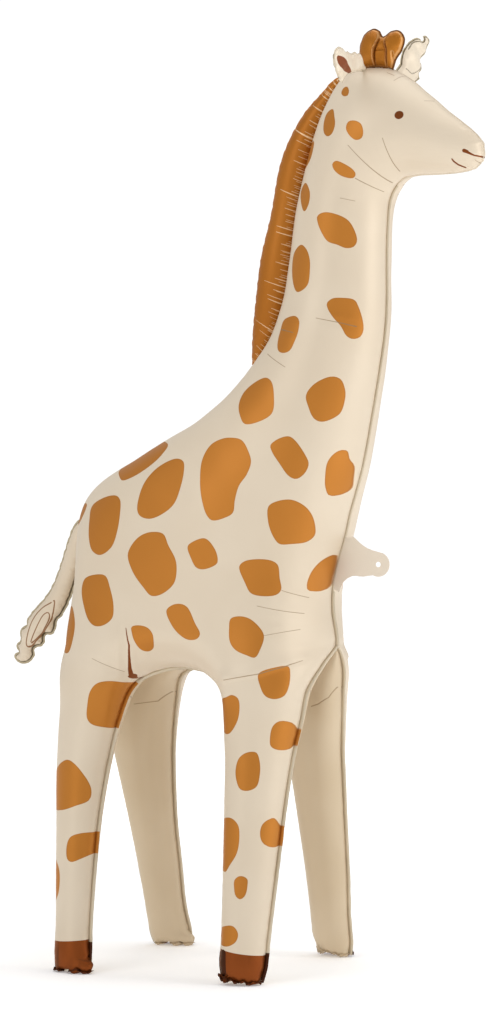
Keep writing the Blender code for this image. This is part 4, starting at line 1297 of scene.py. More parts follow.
colour = mix_colours(tree, product(tree, spot["Line"], 0.55), colour, SPOT_DARK)
# Painted shade: dark streaks over the hoof print stand for the shade in its folds and the dark side of its
# metallic streaks.
hoof_streak_noise = noise(tree, vector_maths(tree, "MULTIPLY", place, HOOF_SHADE_STREAKS), 1.0, Detail=1.5)
hoof_fold_shade = product(tree, smooth_step(tree, hoof_streak_noise, 0.48, 0.72), 0.55)
hoof_colour = mix_colours(tree, hoof_fold_shade, HOOF_BROWN, HOOF_DARK)
colour = mix_colours(tree, hoof["Mask"], colour, hoof_colour)
# The heel's strip of painted shade.
colour = mix_colours(tree, heel_shade_mask, colour, HOOF_DARK)
# The folds' painted shade, with a shallow groove in the bump.
colour = mix_colours(tree, product(tree, fold_shade_mask, 0.75), colour, FOLD_SHADE_BROWN)
# The face's printed lines and the painted shade of the slit and the toe crease share one brown and one
# metallic share.
print_and_shade_lines = greatest(tree, face_mask, eye_mask, crease_shade_mask)
colour = mix_colours(tree, print_and_shade_lines, colour, LINE_BROWN)
dark_ink_and_shade = product(tree, greatest(tree, hoof["Mask"], print_and_shade_lines), 0.6)
ink_and_shade = greatest(tree, product(tree, spot["Mask"], 0.35), dark_ink_and_shade)
feed(tree, shader.inputs["Metallic"], maths(tree, "ADD", ink_and_shade, FILM_METAL))
paint(tree, shader, colour, maths(tree, "SUBTRACT", skin["Height"], product(tree, fold_shade_mask, LINE_GROOVE)))
body_film.data.materials.append(printed)

# %% Plain film inside the legs
whole_film = ray_target(body_shape, body_faces)


def line_on_inner(start, end):
    """The two ends of a stroke on whatever film the camera sees there, as (forward, up)."""
    hits = [whole_film.ray_cast(camera.location, sight_line(pixel))[0] for pixel in (start, end)]
    return [(hit.x, hit.z) for hit in hits]


plain, tree, shader = foil_material("plain_cream_foil", 0.42)
skin = film_look(tree, 0.016, 0.0003)
# Partly painted shade: the inner film's cream is darker than the printed side's.
colour = mix_colours(tree, skin["Tone"], PLAIN_CREAM_SHADED, PLAIN_PALE_SHADED)
inner_fold_shade_mask = strokes_mask(tree, object_place(tree), INNER_FOLD_SHADE_STROKES, line_on_inner)
# Painted shade of the inner folds.
colour = mix_colours(tree, product(tree, inner_fold_shade_mask, 0.7), colour, FOLD_SHADE_BROWN)
paint(tree, shader, colour, maths(tree, "SUBTRACT", skin["Height"], product(tree, inner_fold_shade_mask, LINE_GROOVE)))
body_film.data.materials.append(plain)
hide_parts("body")
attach(body_film, "root")
print("body_film: printed and plain foil")

# %% [markdown]
# ## The fin along the weld
#
# Outside its weld a foil balloon keeps a margin of flat double film, here one to five millimetres wide. It
# catches the light as a thin line, throws a thin shadow on the film beside it, and ruffles, because the
# blown-up film shortens the weld. It follows a path, so Geometry Nodes make it: a flat strip is drawn
# along the weld's curve, stood on edge, and its free edge is pushed to and fro by a noise. A spot that
# reaches the weld of a leg is printed on over the fin.

# %% Geometry Nodes tree: weld fin
def geometry_tree(name, inputs):
    """A Geometry Nodes tree with a geometry and named inputs; gives the tree, its inputs and its output."""
    tree = bpy.data.node_groups.new(name, "GeometryNodeTree")
    tree.interface.new_socket("Geometry", in_out="INPUT", socket_type="NodeSocketGeometry")
    for label, kind in inputs.items():
        tree.interface.new_socket(label, in_out="INPUT", socket_type=kind)
    tree.interface.new_socket("Geometry", in_out="OUTPUT", socket_type="NodeSocketGeometry")
    return tree, node(tree, "NodeGroupInput").outputs, node(tree, "NodeGroupOutput").inputs["Geometry"]


def store(tree, geometry, name, value):
    """Keeps a vector at every point, to be read again after the geometry has changed."""
    sockets = {"Name": name, "Geometry": geometry, "Value": value}
    made = node(tree, "GeometryNodeStoreNamedAttribute", sockets, data_type="FLOAT_VECTOR", domain="POINT")
    return made.outputs["Geometry"]


def stored(tree, name):
    made = node(tree, "GeometryNodeInputNamedAttribute", {"Name": name}, data_type="FLOAT_VECTOR")
    return made.outputs["Attribute"]


def position(tree):
    return node(tree, "GeometryNodeInputPosition").outputs[0]


fin_tree, given, result = geometry_tree("weld_fin", {
    "Width": FLOAT, "Root": FLOAT, "Thickness": FLOAT, "Ruffle": FLOAT, "Ruffle Length": FLOAT, "Seed": FLOAT,
    "Floor": FLOAT, "Across": VECTOR, "Material": "NodeSocketMaterial"})
tree = fin_tree
tangent = node(tree, "GeometryNodeInputTangent").outputs["Tangent"]
outward = vector_maths(tree, "NORMALIZE", vector_maths(tree, "CROSS_PRODUCT", tangent, given["Across"]))
turned = {"Curve": given["Geometry"], "Normal": outward}
upright = node(tree, "GeometryNodeSetCurveNormal", turned, mode="FREE")
marked = store(tree, upright.outputs["Curve"], "outward", outward)
marked = store(tree, marked, "weld_place", position(tree))
cut = {"Width": maths(tree, "ADD", given["Width"], given["Root"]), "Height": given["Thickness"]}
strip = node(tree, "GeometryNodeCurvePrimitiveQuadrilateral", cut, mode="RECTANGLE")
shift = product(tree, maths(tree, "SUBTRACT", given["Width"], given["Root"]), 0.5)
beside = node(tree, "ShaderNodeCombineXYZ", {"X": shift}).outputs["Vector"]
moved_strip = node(tree, "GeometryNodeTransform", {"Geometry": strip.outputs["Curve"], "Translation": beside})
swept = node(tree, "GeometryNodeCurveToMesh", {
    "Curve": marked, "Profile Curve": moved_strip.outputs["Geometry"], "Fill Caps": True})
from_weld = vector_maths(tree, "SUBTRACT", position(tree), stored(tree, "weld_place"))
height = vector_maths(tree, "DOT_PRODUCT", from_weld, stored(tree, "outward"))
share = maths(tree, "DIVIDE", height, given["Width"], clamp=True)
waves = node(tree, "ShaderNodeTexNoise", {
    "Detail": 1.0, "Vector": stored(tree, "weld_place"), "W": given["Seed"],
    "Scale": maths(tree, "DIVIDE", 1.0, given["Ruffle Length"])}, noise_dimensions="4D")
swing = product(tree, maths(tree, "SUBTRACT", waves.outputs["Fac"], 0.5), given["Ruffle"])
ruffled = node(tree, "GeometryNodeSetPosition", {
    "Geometry": swept.outputs["Mesh"],
    "Offset": scale_vector(tree, given["Across"], product(tree, swing, share))})
above = parts_of(tree, position(tree))
resting = node(tree, "ShaderNodeCombineXYZ", {
    "X": above["X"], "Y": above["Y"], "Z": greatest(tree, above["Z"], given["Floor"])})
grounded = node(tree, "GeometryNodeSetPosition", {
    "Geometry": ruffled.outputs["Geometry"], "Position": resting.outputs["Vector"]})
real = node(tree, "GeometryNodeRealizeInstances", {"Geometry": grounded.outputs["Geometry"]})
dressed = node(tree, "GeometryNodeSetMaterial", {
    "Geometry": real.outputs["Geometry"], "Material": given["Material"]})
feed(tree, result, dressed.outputs["Geometry"])


def bake_nodes(name, thing, tree, **values):
    """Runs a Geometry Nodes tree on an object, keeps the result as a plain mesh and removes the object."""
    modifier = thing.modifiers.new("make", "NODES")
    modifier.node_group = tree
    for item in tree.interface.items_tree:
        if item.in_out == "INPUT" and item.name.replace(" ", "_") in values:
            modifier[item.identifier] = values[item.name.replace(" ", "_")]
    seen = thing.evaluated_get(bpy.context.evaluated_depsgraph_get())
    mesh = bpy.data.meshes.new_from_object(seen)
    bpy.data.objects.remove(thing)
    mesh.name = name
    made = bpy.data.objects.new(name, mesh)
    bpy.context.scene.collection.objects.link(made)
    return made


def path_object(name, paths):
    """A curve object with one open line for each list of points."""
    curve = bpy.data.curves.new(name, "CURVE")
    curve.dimensions = "3D"
    for path in paths:
        spline = curve.splines.new("POLY")
        spline.points.add(len(path) - 1)
        spline.points.foreach_set("co", np.hstack([path, np.ones((len(path), 1))]).astype(np.float32).ravel())
    thing = bpy.data.objects.new(name, curve)
    bpy.context.scene.collection.objects.link(thing)
    return thing


# %% Bare film of the fins
BARE_FILM = (0.600, 0.512, 0.372, 1)
BARE_PALE = (0.700, 0.612, 0.470, 1)
EDGE_CREAM = (0.780, 0.690, 0.560, 1)
HOOF_HEIGHT = 0.050
HOOF_SOFTNESS = 0.0006
fin_foil, tree, shader = foil_material("bare_foil_edge", 0.34, 0.25)
skin = film_look(tree, 0.006, 0.0004)
parts = parts_of(tree, object_place(tree))
facing = parts_of(tree, node(tree, "ShaderNodeNewGeometry").outputs["Normal"])
printed_face = maths(tree, "GREATER_THAN", product(tree, parts["Y"], facing["Y"]), 0.0)
low = smooth_step(tree, parts["Z"], HOOF_HEIGHT + HOOF_SOFTNESS, HOOF_HEIGHT - HOOF_SOFTNESS)
run_out = use_group(tree, print_edge, Inside=attribute_value(tree, "spot_edge"))
colour = mix_colours(tree, skin["Tone"], BARE_FILM, BARE_PALE)
colour = mix_colours(tree, product(tree, printed_face, run_out["Mask"]), colour, SPOT_ORANGE)
colour = mix_colours(tree, product(tree, printed_face, low), colour, HOOF_DARK)
paint(tree, shader, colour, skin["Height"])
head_edge = two_tone_foil("cream_foil_edge", 0.42, FILM_METAL, 0.006, 0.0003, CREAM_PALE, EDGE_CREAM)

# %% Fins of the body
MANE_ROOT = ((21, 645), (120, 944))
HORN_ROOT = ((144, 957.5), (181, 955))
TAIL_ROOT = ((-194.5, 447), (-190.5, 477))
TAB_ROOT = ((125.5, 464), (112.5, 404))
THROAT = (184.5, 833)
FIN_ROOT = 0.0030
FIN_THICKNESS = 0.0004
FIN_FLOOR = 0.0003
OFF_FLOOR = 0.001
FIN_LOOKS = {
    "head_fin": {"Width": 0.0008, "Ruffle": 0.0010, "Ruffle_Length": 0.012, "Seed": 3.0},
    "neck_fin": {"Width": 0.0024, "Ruffle": 0.0030, "Ruffle_Length": 0.020, "Seed": 5.0},
    "chest_fin": {"Width": 0.0046, "Ruffle": 0.0050, "Ruffle_Length": 0.022, "Seed": 7.0},
    "back_fin": {"Width": 0.0030, "Ruffle": 0.0060, "Ruffle_Length": 0.012, "Seed": 9.0},
    "covered_weld": {"Width": 0.0016, "Ruffle": 0.0, "Ruffle_Length": 0.020, "Seed": 13.0},
    "leg_fins": {"Width": 0.0046, "Ruffle": 0.0050, "Ruffle_Length": 0.022, "Seed": 11.0},
    "hoof_fringe": {"Width": 0.0056, "Ruffle": 0.0300, "Ruffle_Length": 0.0110, "Seed": 17.0},
    "sole_fringe": {"Width": 0.0036, "Ruffle": 0.0200, "Ruffle_Length": 0.0110, "Seed": 19.0},
}
SIDEWAYS = (0.0, 1.0, 0.0)
UPWARDS = (0.0, 0.0, 1.0)


def weld_index(place):
    return int(np.argmin(((weld_line - np.array(place) * MIL) ** 2).sum(1)))


def weld_path(first, last, side=0):
    """Points in space along the body's weld from one index to another, going round by nose, feet and tail."""
    if last < first:
        last += rim
    run = weld_line[np.arange(first, last + 1) % rim]
    return np.stack([run[:, 0], side * weld_offset(run), np.maximum(run[:, 1], 0.0)], axis=1)


def weld_between(first, last):
    return weld_path(weld_index(first), weld_index(last))


def print_over_weld(made):
    """Keeps on a fin of the legs how far inside a spot the weld beside it lies."""
    places = points_of(made)
    inks = np.full(len(places), -SPOT_MARGIN)
    for k, (x, y, z) in enumerate(places):
        if z < belly:
            nearest = int(np.argmin(((weld_line - (x, z)) ** 2).sum(1)))
            inks[k] = spot_edge[vertex_of.get(("rim", -1 if y < 0 else 1, nearest), 0)]
    keep_values(made.data, {"spot_edge": inks})


def fins(name, paths, material=fin_foil, across=SIDEWAYS):
    """A ruffled fin along each path, all in one piece of the body."""
    made = bake_nodes(name, path_object(name + "_path", paths), fin_tree, Root=FIN_ROOT, Floor=FIN_FLOOR,
                      Thickness=FIN_THICKNESS, Across=across, Material=material, **FIN_LOOKS[name])
    print_over_weld(made)
    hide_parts("body")
    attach(made, "root")
    print(name + ":", len(paths), "runs,", len(made.data.polygons), "faces")
    return made


fins("head_fin", [weld_between(MANE_ROOT[1], HORN_ROOT[0]), weld_between(HORN_ROOT[1], THROAT)], head_edge)
fins("neck_fin", [weld_between(THROAT, TAB_ROOT[0])])
fins("chest_fin", [weld_path(weld_index(TAB_ROOT[1]), belly_front)])
fins("back_fin", [weld_path(belly_back, weld_index(TAIL_ROOT[0])), weld_between(TAIL_ROOT[1], MANE_ROOT[0])])
fins("covered_weld", [weld_between(*ends) for ends in (MANE_ROOT, HORN_ROOT, TAIL_ROOT, TAB_ROOT)])
leg_paths = []
for side in (-1, 1):
    leg_path = weld_path(belly_front, belly_back, side)
    breaks = np.flatnonzero(np.diff((leg_path[:, 2] > OFF_FLOOR).astype(int)))
    leg_paths += [part for part in np.split(leg_path, breaks + 1) if part[:, 2].max() > OFF_FLOOR]
leg_fins = fins("leg_fins", leg_paths)

# %% [markdown]
# ## Ragged ends of the feet
#
# Under each foot the film is gathered flat and sticks out as a ragged edge. Its path is the outline of the
# foot just above the floor, cut from the film's own mesh, and the same tree draws it, lying down this time.

# %% Foot fringes
CUT_HEIGHT = 0.0045
FRINGE_STEP = 0.0018
SHORTEST_LOOP = 12


def loops_at(thing, height):
    """The closed outlines in which a level plane cuts a mesh, each going round to the left."""
    mesh = bmesh.new()
    mesh.from_mesh(thing.data)
    cut = bmesh.ops.bisect_plane(mesh, geom=mesh.verts[:] + mesh.edges[:] + mesh.faces[:], dist=1e-6,
                                 plane_co=(0, 0, height), plane_no=(0, 0, 1))
    edges = {part for part in cut["geom_cut"] if isinstance(part, bmesh.types.BMEdge)}
    loops = []
    while edges:
        edge = min(edges, key=lambda item: item.index)
        edges.discard(edge)
        loop = [edge.verts[0], edge.verts[1]]
        while True:
            onward = [item for item in loop[-1].link_edges if item in edges]
            if not onward:
                break
            edges.discard(onward[0])
            loop.append(onward[0].other_vert(loop[-1]))
        line = np.array([vert.co[:] for vert in loop])
        x, y = line[:, 0], line[:, 1]
        if (x[:-1] * y[1:] - x[1:] * y[:-1]).sum() < 0:
            line = line[::-1]
        loops.append(line)
    mesh.free()
    return [line for line in loops if len(line) > SHORTEST_LOOP]


def evenly(line, step):
    """The same line with its points a step apart."""
    travelled = np.concatenate([[0], np.cumsum(np.linalg.norm(np.diff(line, axis=0), axis=1))])
    wanted = np.linspace(0, travelled[-1], max(4, round(travelled[-1] / step)))
    return np.stack([np.interp(wanted, travelled, line[:, axis]) for axis in range(3)], axis=1)


hoof_paths = []
sole_paths = []
for line in loops_at(body_film, CUT_HEIGHT):
    line = evenly(line, FRINGE_STEP)
    outer = np.abs(line[:, 1]) > weld_offset(line[:, [0, 2]])
    turn = int(np.flatnonzero(outer[:-1] != outer[1:])[0]) + 1
    line = np.vstack([line[turn:-1], line[:turn + 1]])
    outer = np.abs(line[:, 1]) > weld_offset(line[:, [0, 2]])
    for part in np.split(np.arange(len(line)), np.flatnonzero(np.diff(outer.astype(int))) + 1):
        if len(part) > 3:
            (hoof_paths if outer[part].mean() > 0.5 else sole_paths).append(line[part])
hoof_foil = two_tone_foil("hoof_foil_edge", 0.34, 0.6, 0.006, 0.0004, HOOF_DARK, HOOF_EDGE)
hoof_fringe = fins("hoof_fringe", hoof_paths, hoof_foil, UPWARDS)
sole_fringe = fins("sole_fringe", sole_paths, plain, UPWARDS)

# %% [markdown]
# The front feet lean forward on their toes. So everything low on a front leg rises towards its heel, and
# only the teeth of the gathered film still hang down to the floor.

# %% Front feet stand on their toes
HEEL_RISE = 0.0115
RISE_FADE = 0.048
TOOTH_LENGTH = 0.0150
TOOTH_SWAY = 1.3
TOOTH_SWAY_LENGTH = 0.037
TOOTH_STEEPNESS = 1.5
TOOTH_SHARE = 0.80


def stand_on_toes(thing):
    """Lifts the back of the front feet a little, with teeth of film that still hang to the floor."""
    places = points_of(thing)
    x, y, z = places.T
    back, front = (edge * MIL for edge in FRONT_LEG[-1][1:])
    share = np.clip((front - x) / (front - back), 0, 1) * (x > ARCH_MIDDLE * MIL)
    teeth = uneven_teeth(x, TOOTH_LENGTH, TOOTH_SWAY, TOOTH_SWAY_LENGTH)
    hanging = 1 - TOOTH_SHARE * np.clip(TOOTH_STEEPNESS * teeth, 0, 1)
    places[:, 2] += HEEL_RISE * share * hanging * (1 - ease(z / RISE_FADE))
    thing.data.vertices.foreach_set("co", places.ravel())
    thing.data.update()


for thing in (body_film, leg_fins, hoof_fringe, sole_fringe):
    stand_on_toes(thing)
print("front feet: heels lifted by up to", round(1000 * HEEL_RISE, 1), "mm")

# %% [markdown]
# ## Small pouches: mane, horns, ears and tail
#
# The small pieces are bags of their own, welded flat round the edge and blown up inside. Each is drawn in
# its own plane: an outline, a margin that stays flat as its fin, and the same membrane for the rest. The
# root of a pouch follows the weld it is fastened to.

# %% Make a pouch
FIN_HALF = 0.00018
POUCH_ROWS = 5
POUCH_RADIUS = 0.02
POUCH_PUCKER_LENGTH = 0.016
POUCH_PUCKER_REACH = 0.007
POUCH_RUFFLE_LENGTH = 0.020
SHARP_ANGLE = math.radians(50)


def pouch(name, outline, step, fullness, margin, place, values, seed=5, shape=None, ruffle=0.0008,
          pucker_depth=0.0006, flap=None):
    """A bag in its own plane. place turns (along, up, out) into a point; values gives the numbers kept at
    each point from (flat points, side, film); shape scales the thickness; flap bends the whole bag."""
    depths = [0.5 * margin, margin]
    depths += [margin + (k * step) ** 2 / (2 * POUCH_RADIUS) for k in range(1, POUCH_ROWS + 1)]
    grid = grid_inside(outline, step, depths[-1] + 0.5 * step)
    flat, panel = fill(outline, np.vstack([rows_inside(outline, depths), grid]))
    depth, along = weld_side(outline, flat)
    held = depth < 1.01 * margin
    thick = np.sqrt(2 * membrane(flat, panel, held)) * fullness
    if shape is not None:
        thick = thick * shape(flat)
    length = np.linalg.norm(np.roll(outline, -1, axis=0) - outline, axis=1).sum()
    near_weld = np.exp(-(((depth - margin) / POUCH_PUCKER_REACH) ** 2)) * ~held
    thick += pucker_depth * near_weld * wander(along, length, POUCH_PUCKER_LENGTH, seed)
    thick = np.maximum(thick, 0) + FIN_HALF
    rim = len(outline)
    thick[:rim] = 0
    off_edge = np.clip(1 - depth / (2.5 * margin), 0, 1)
    lean = ruffle * wander(along, length, POUCH_RUFFLE_LENGTH, seed + 1) * off_edge
    if flap is not None:
        lean = lean + flap(flat)
    panel = panel[panel.max(1) >= rim]
    count = len(flat)
    points = [place(x, z, out - t) for (x, z), t, out in zip(flat, thick, lean)]
    points += [place(x, z, out + t) for (x, z), t, out in zip(flat[rim:], thick[rim:], lean[rim:])]
    faces = np.vstack([panel, np.where(panel < rim, panel, panel + count - rim)[:, ::-1]])
    side = np.concatenate([-np.ones(count), np.ones(count - rim)])
    kept = {"weld_depth": np.concatenate([depth, depth[rim:]]), "far_side": side * 0.5 + 0.5}
    kept.update(values(np.vstack([flat, flat[rim:]]), side, ray_target(points, faces)))
    made = mesh_object(name, points, faces, kept)
    made.data.set_sharp_from_angle(angle=SHARP_ANGLE)
    print(name + ":", len(made.data.polygons), "faces, thickest", round(2000 * thick.max(), 1), "mm")
    return made


def finish_piece(made, node_name, material):
    made.data.materials.append(material)
    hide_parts(node_name)
    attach(made, "root")


def in_middle(x, z, out):
    return (x, out, z)


def in_plane(root, heading):
    """Turns (along, up, out) of an upright plane through root into a point."""
    length = math.hypot(*heading)
    along = (heading[0] / length, heading[1] / length)

    def place(x, z, out):
        return (root[0] + along[0] * x - along[1] * out, root[1] + along[1] * x + along[0] * out, z)

    return place


def on_plane(pixel, root=(0.0, 0.0), heading=(1.0, 0.0), out=0.0):
    """The place of a pixel in an upright plane, or out to one side of it, as (along, up)."""
    length = math.hypot(*heading)
    along = Vector((heading[0] / length, heading[1] / length, 0))
    across = Vector((-along.y, along.x, 0))
    start = Vector((root[0], root[1], 0)) + out * across
    line = sight_line(pixel)
    reach = (start - camera.location).dot(across) / line.dot(across)
    hit = camera.location + line * reach
    return np.array(((hit - start).dot(along), hit.z))


ROOT_INSET = 0.0012


def body_root(ends, step):
    """The body's weld between two places, a hair inside it."""
    first, last = (weld_index(end) for end in ends)
    if last < first:
        last += rim
    run = weld_line[np.arange(first, last + 1) % rim]
    tangent = np.gradient(run, axis=0)
    tangent /= np.linalg.norm(tangent, axis=1)[:, None]
    run = run + ROOT_INSET * np.stack([tangent[:, 1], -tangent[:, 0]], axis=1)
    pieces = max(2, round(np.linalg.norm(np.diff(run, axis=0), axis=1).sum() / step))
    pieces = min(pieces, len(run) - 1)
    return run[np.linspace(0, len(run) - 1, pieces + 1).round().astype(int)]


def rooted(outline, ends, step):
    """A smooth outline closed along the body's weld."""
    return np.vstack([smooth_line(np.array(outline) * MIL, step, closed=False), body_root(ends, step)[::-1]])


# %% [markdown]
# ## Mane
#
# The mane is a long orange pouch. Pale strokes of hair are printed on it, square to its root and never
# quite even. They aren't drawn one by one: the mesh keeps how far along the root a point lies and how far
# from it, and a shader group sets one stroke in each stretch of the root, with chance giving its place,
# its length and its width.

# %% Mane pouch
MANE_OUTER = ((14, 648), (14.5, 676), (19, 722), (25, 764), (36.5, 808), (46.5, 858), (56.5, 884), (76, 915),
              (97, 936), (109, 947.5), (116, 951), (120, 949))
MANE_STEP = 0.0035
MANE_FULLNESS = 0.85
mane_root = body_root(MANE_ROOT, MANE_STEP)


def hair_values(points, side, film):
    """How far along the mane's root each point lies, and how far from it."""
    off, along = nearest_place(mane_root[:-1], np.diff(mane_root, axis=0), points)
    return {"hair_along": along, "hair_off": off}


mane = pouch("mane_film", rooted(MANE_OUTER, MANE_ROOT, MANE_STEP), MANE_STEP, MANE_FULLNESS, 0.003,
             in_middle, hair_values, ruffle=0.0012)

# %% Group: hair strokes
hair_strokes, given, result = group_tree("hair_strokes", {
    "Along": (FLOAT, 0.0), "Off": (FLOAT, 0.0), "Spacing": (FLOAT, 0.009), "Seed": (FLOAT, 0.0),
    "Reach": (FLOAT, 0.022), "Width": (FLOAT, 0.0007), "Tilt": (FLOAT, -0.18)}, ["Mask"])
tree = hair_strokes
leaned = maths(tree, "MULTIPLY_ADD", given["Off"], given["Tilt"], given["Along"])
turns = maths(tree, "DIVIDE", leaned, given["Spacing"])
cell = maths(tree, "FLOOR", turns)
chance = node(tree, "ShaderNodeTexWhiteNoise", {"W": maths(tree, "ADD", cell, given["Seed"])},
              noise_dimensions="1D")
draws = node(tree, "ShaderNodeSeparateColor", {0: chance.outputs["Color"]}).outputs
shift = product(tree, maths(tree, "SUBTRACT", draws[0], 0.5), 0.6)
middle = maths(tree, "ADD", maths(tree, "ADD", cell, 0.5), shift)
off_middle = maths(tree, "ABSOLUTE", maths(tree, "SUBTRACT", turns, middle))
off_line = product(tree, off_middle, given["Spacing"])
stroke_reach = product(tree, given["Reach"], maths(tree, "ADD", draws[1], 0.35))
used = maths(tree, "DIVIDE", given["Off"], stroke_reach)
taper = maths(tree, "SUBTRACT", 1.15, used, clamp=True)
thin = product(tree, given["Width"], product(tree, taper, maths(tree, "ADD", draws[2], 0.5)))
drawn = smooth_step(tree, off_line, maths(tree, "ADD", thin, 0.0003), thin)
feed(tree, result["Mask"], product(tree, drawn, maths(tree, "LESS_THAN", used, 1.0)))

# %% Mane foil
MANE_ORANGE = (0.390, 0.131, 0.014, 1)
MANE_LIGHT = (0.425, 0.148, 0.018, 1)
HAIR_PALE = (0.860, 0.610, 0.370, 1)
HAIRS = (
    {"Spacing": 0.0098, "Seed": 4.0, "Reach": 0.024, "Width": 0.0007},
    {"Spacing": 0.0076, "Seed": 31.0, "Reach": 0.015, "Width": 0.00045},
    {"Spacing": 0.085, "Seed": 77.0, "Reach": 0.050, "Width": 0.0008},
)
mane_foil, tree, shader = foil_material("mane_foil", 0.42, 0.35)
skin = film_look(tree, 0.010, 0.0003)
along = attribute_value(tree, "hair_along")
off = attribute_value(tree, "hair_off")
hairs = [use_group(tree, hair_strokes, Along=along, Off=off, **kind)["Mask"] for kind in HAIRS]
colour = mix_colours(tree, skin["Tone"], MANE_ORANGE, MANE_LIGHT)
colour = mix_colours(tree, product(tree, greatest(tree, *hairs), 0.8), colour, HAIR_PALE)
paint(tree, shader, colour, skin["Height"])
finish_piece(mane, "mane", mane_foil)

# %% [markdown]
# ## Horns
#
# Two knobs on short shafts with a web between them, all one pouch. Two welded grooves part the shafts
# from the web, and a fold runs across the web. The foil paints pale highlights along the fin's rim and
# beside the grooves, and shade in the grooves.

# %% Horn pouch
HORNS = (
    (141, 960), (140.5, 970), (141.5, 984), (147, 995), (157, 1000), (164, 997), (168, 991), (176, 995.5),
    (185, 996.5), (191, 992), (193, 985), (190, 975), (183, 965),
)
HORN_STEP = 0.0016
HORN_FULLNESS = 0.95
GROOVES = {
    "left": ((377.0, 31.5), (378.6, 38), (377.2, 44), (375.2, 50), (374.4, 58), (374.2, 68)),
    "right": ((386.0, 32), (384.8, 38), (385.6, 44), (387.0, 50), (386.4, 58), (385.2, 68)),
    "right_fold": ((392.6, 52), (392.0, 58), (391.6, 66)),
}
WEB_FOLD = (380, 50)
WEB_FOLD_WIDTH = 0.0016
WEB_FOLD_SHARE = 0.12
WEB_EDGE = 0.003
GROOVE_WIDTH = 0.0016
GROOVE_SHARE = 0.45
SIDE_FOLD_SHARE = 0.225
WEB_SHARE = 0.74
HORN_RISE = 0.011
groove_lines = {name: smooth_line([on_plane(pixel, out=-HORN_RISE) for pixel in line], 0.001, closed=False)
                for name, line in GROOVES.items()}
fold_height = on_plane(WEB_FOLD, out=-HORN_RISE)[1]


def line_gap(line, points):
    """How far each point lies from an open line, and whether it lies to the right of it."""
    offset = points[:, None, :] - line[None]
    gap2 = (offset**2).sum(2)
    best = gap2.argmin(1)
    rows = np.arange(len(points))
    return np.sqrt(gap2[rows, best]), offset[rows, best, 0] > 0


def horn_shape(points):
    """The share of the full thickness that is left: less in the grooves, on the web and in its fold."""
    share = np.ones(len(points))
    between = np.ones(len(points))
    for name, line in groove_lines.items():
        gap, right = line_gap(line, points)
        depth = SIDE_FOLD_SHARE if name == "right_fold" else GROOVE_SHARE
        share *= 1 - depth * np.exp(-((gap / GROOVE_WIDTH) ** 2))
        if name != "right_fold":
            signed = np.where(right == (name == "left"), gap, -gap)
            between *= ease(signed / WEB_EDGE + 0.5)
    fold = np.exp(-(((points[:, 1] - fold_height) / WEB_FOLD_WIDTH) ** 2)) * between
    return share * (1 - (1 - WEB_SHARE) * between) * (1 - WEB_FOLD_SHARE * fold)


def horn_values(points, side, film):
    gaps = np.min([line_gap(line, points)[0] for line in groove_lines.values()], axis=0)
    return {"groove_gap": gaps}


horns = pouch("horn_film", rooted(HORNS, HORN_ROOT, HORN_STEP), HORN_STEP, HORN_FULLNESS, 0.0024, in_middle,
              horn_values, shape=horn_shape, ruffle=0.0006)

HORN_ORANGE = (0.365, 0.124, 0.011, 1)
HORN_LIGHT = (0.450, 0.165, 0.018, 1)
HORN_EDGE = (0.150, 0.055, 0.014, 1)
HORN_HIGHLIGHT = (0.700, 0.380, 0.150, 1)
horn_foil, tree, shader = foil_material("horn_foil", 0.40, 0.35)
skin = film_look(tree, 0.008, 0.0003)
inward = attribute_value(tree, "weld_depth")
groove = attribute_value(tree, "groove_gap")
# Painted highlight: pale lines along the fin's rim and beside the grooves; painted shade: dark lines in the
# grooves.
rim_highlight = band(tree, inward, (0.0022, 0.0030), (0.0052, 0.0036))
groove_highlight = band(tree, groove, (0.0008, 0.0016), (0.0032, 0.0020))
colour = mix_colours(tree, skin["Tone"], HORN_ORANGE, HORN_LIGHT)
colour = mix_colours(tree, product(tree, greatest(tree, rim_highlight, groove_highlight), 0.62), colour, HORN_HIGHLIGHT)
groove_shade = product(tree, smooth_step(tree, groove, 0.0010, 0.0004), 0.35)
dark_lines = greatest(tree, smooth_step(tree, inward, 0.0026, 0.0018), groove_shade)
colour = mix_colours(tree, dark_lines, colour, HORN_EDGE)
paint(tree, shader, colour, skin["Height"])
finish_piece(horns, "horns", horn_foil)

# %% [markdown]
# ## Ears
#
# Each ear is a small flat bag that stands off the side of the head. The near one shows its printed side,
# with a brown leaf, and the far one its plain back. Both are slack, so they buckle, and the far one shows
# two dark lines of painted shade where its film has creased.

# %% Ear pouches
EARS = {
    "right": {
        "outline": ((360, 71.2), (354.8, 72.2), (350.4, 73.6), (346.6, 75.2), (344.4, 79), (341.6, 82.6),
                    (338.2, 77.6), (335, 72.5), (334, 66), (334, 58.5), (334.8, 51), (337, 47.2), (340, 46.8),
                    (342.8, 48.6), (345, 51.6), (348, 51.2), (351, 53.4), (354.2, 51.8), (357.4, 53.8),
                    (359.6, 53), (361, 56), (362, 61)),
        "start": (0.2385, -0.0600), "heading": (0.0, -1.0), "root": (956.2, 951.5), "seed": 11},
    "left": {
        "outline": ((400.2, 63.6), (401, 57.2), (402.2, 53.4), (404.2, 48), (406.5, 44.8), (411, 40.8),
                    (416, 37.8), (419.6, 39), (421.6, 41.4), (423.4, 39.6), (422.8, 36.8), (425.6, 35.6),
                    (428.6, 39.4), (429, 42.8), (427, 47), (426, 49.8), (424.6, 54.6), (421.6, 57.4),
                    (420.8, 61), (422.2, 65), (420.8, 70), (418.2, 73.8), (419, 79)),
        "start": (0.2478, 0.0600), "heading": (0.25, 0.968), "root": (930, 946), "seed": 13},
}
EAR_STEP = 0.0024
EAR_MARGIN = 0.0026
EAR_FULLNESS = 0.35
EAR_LAUNCH = 0.15
EAR_SINK = 0.0005
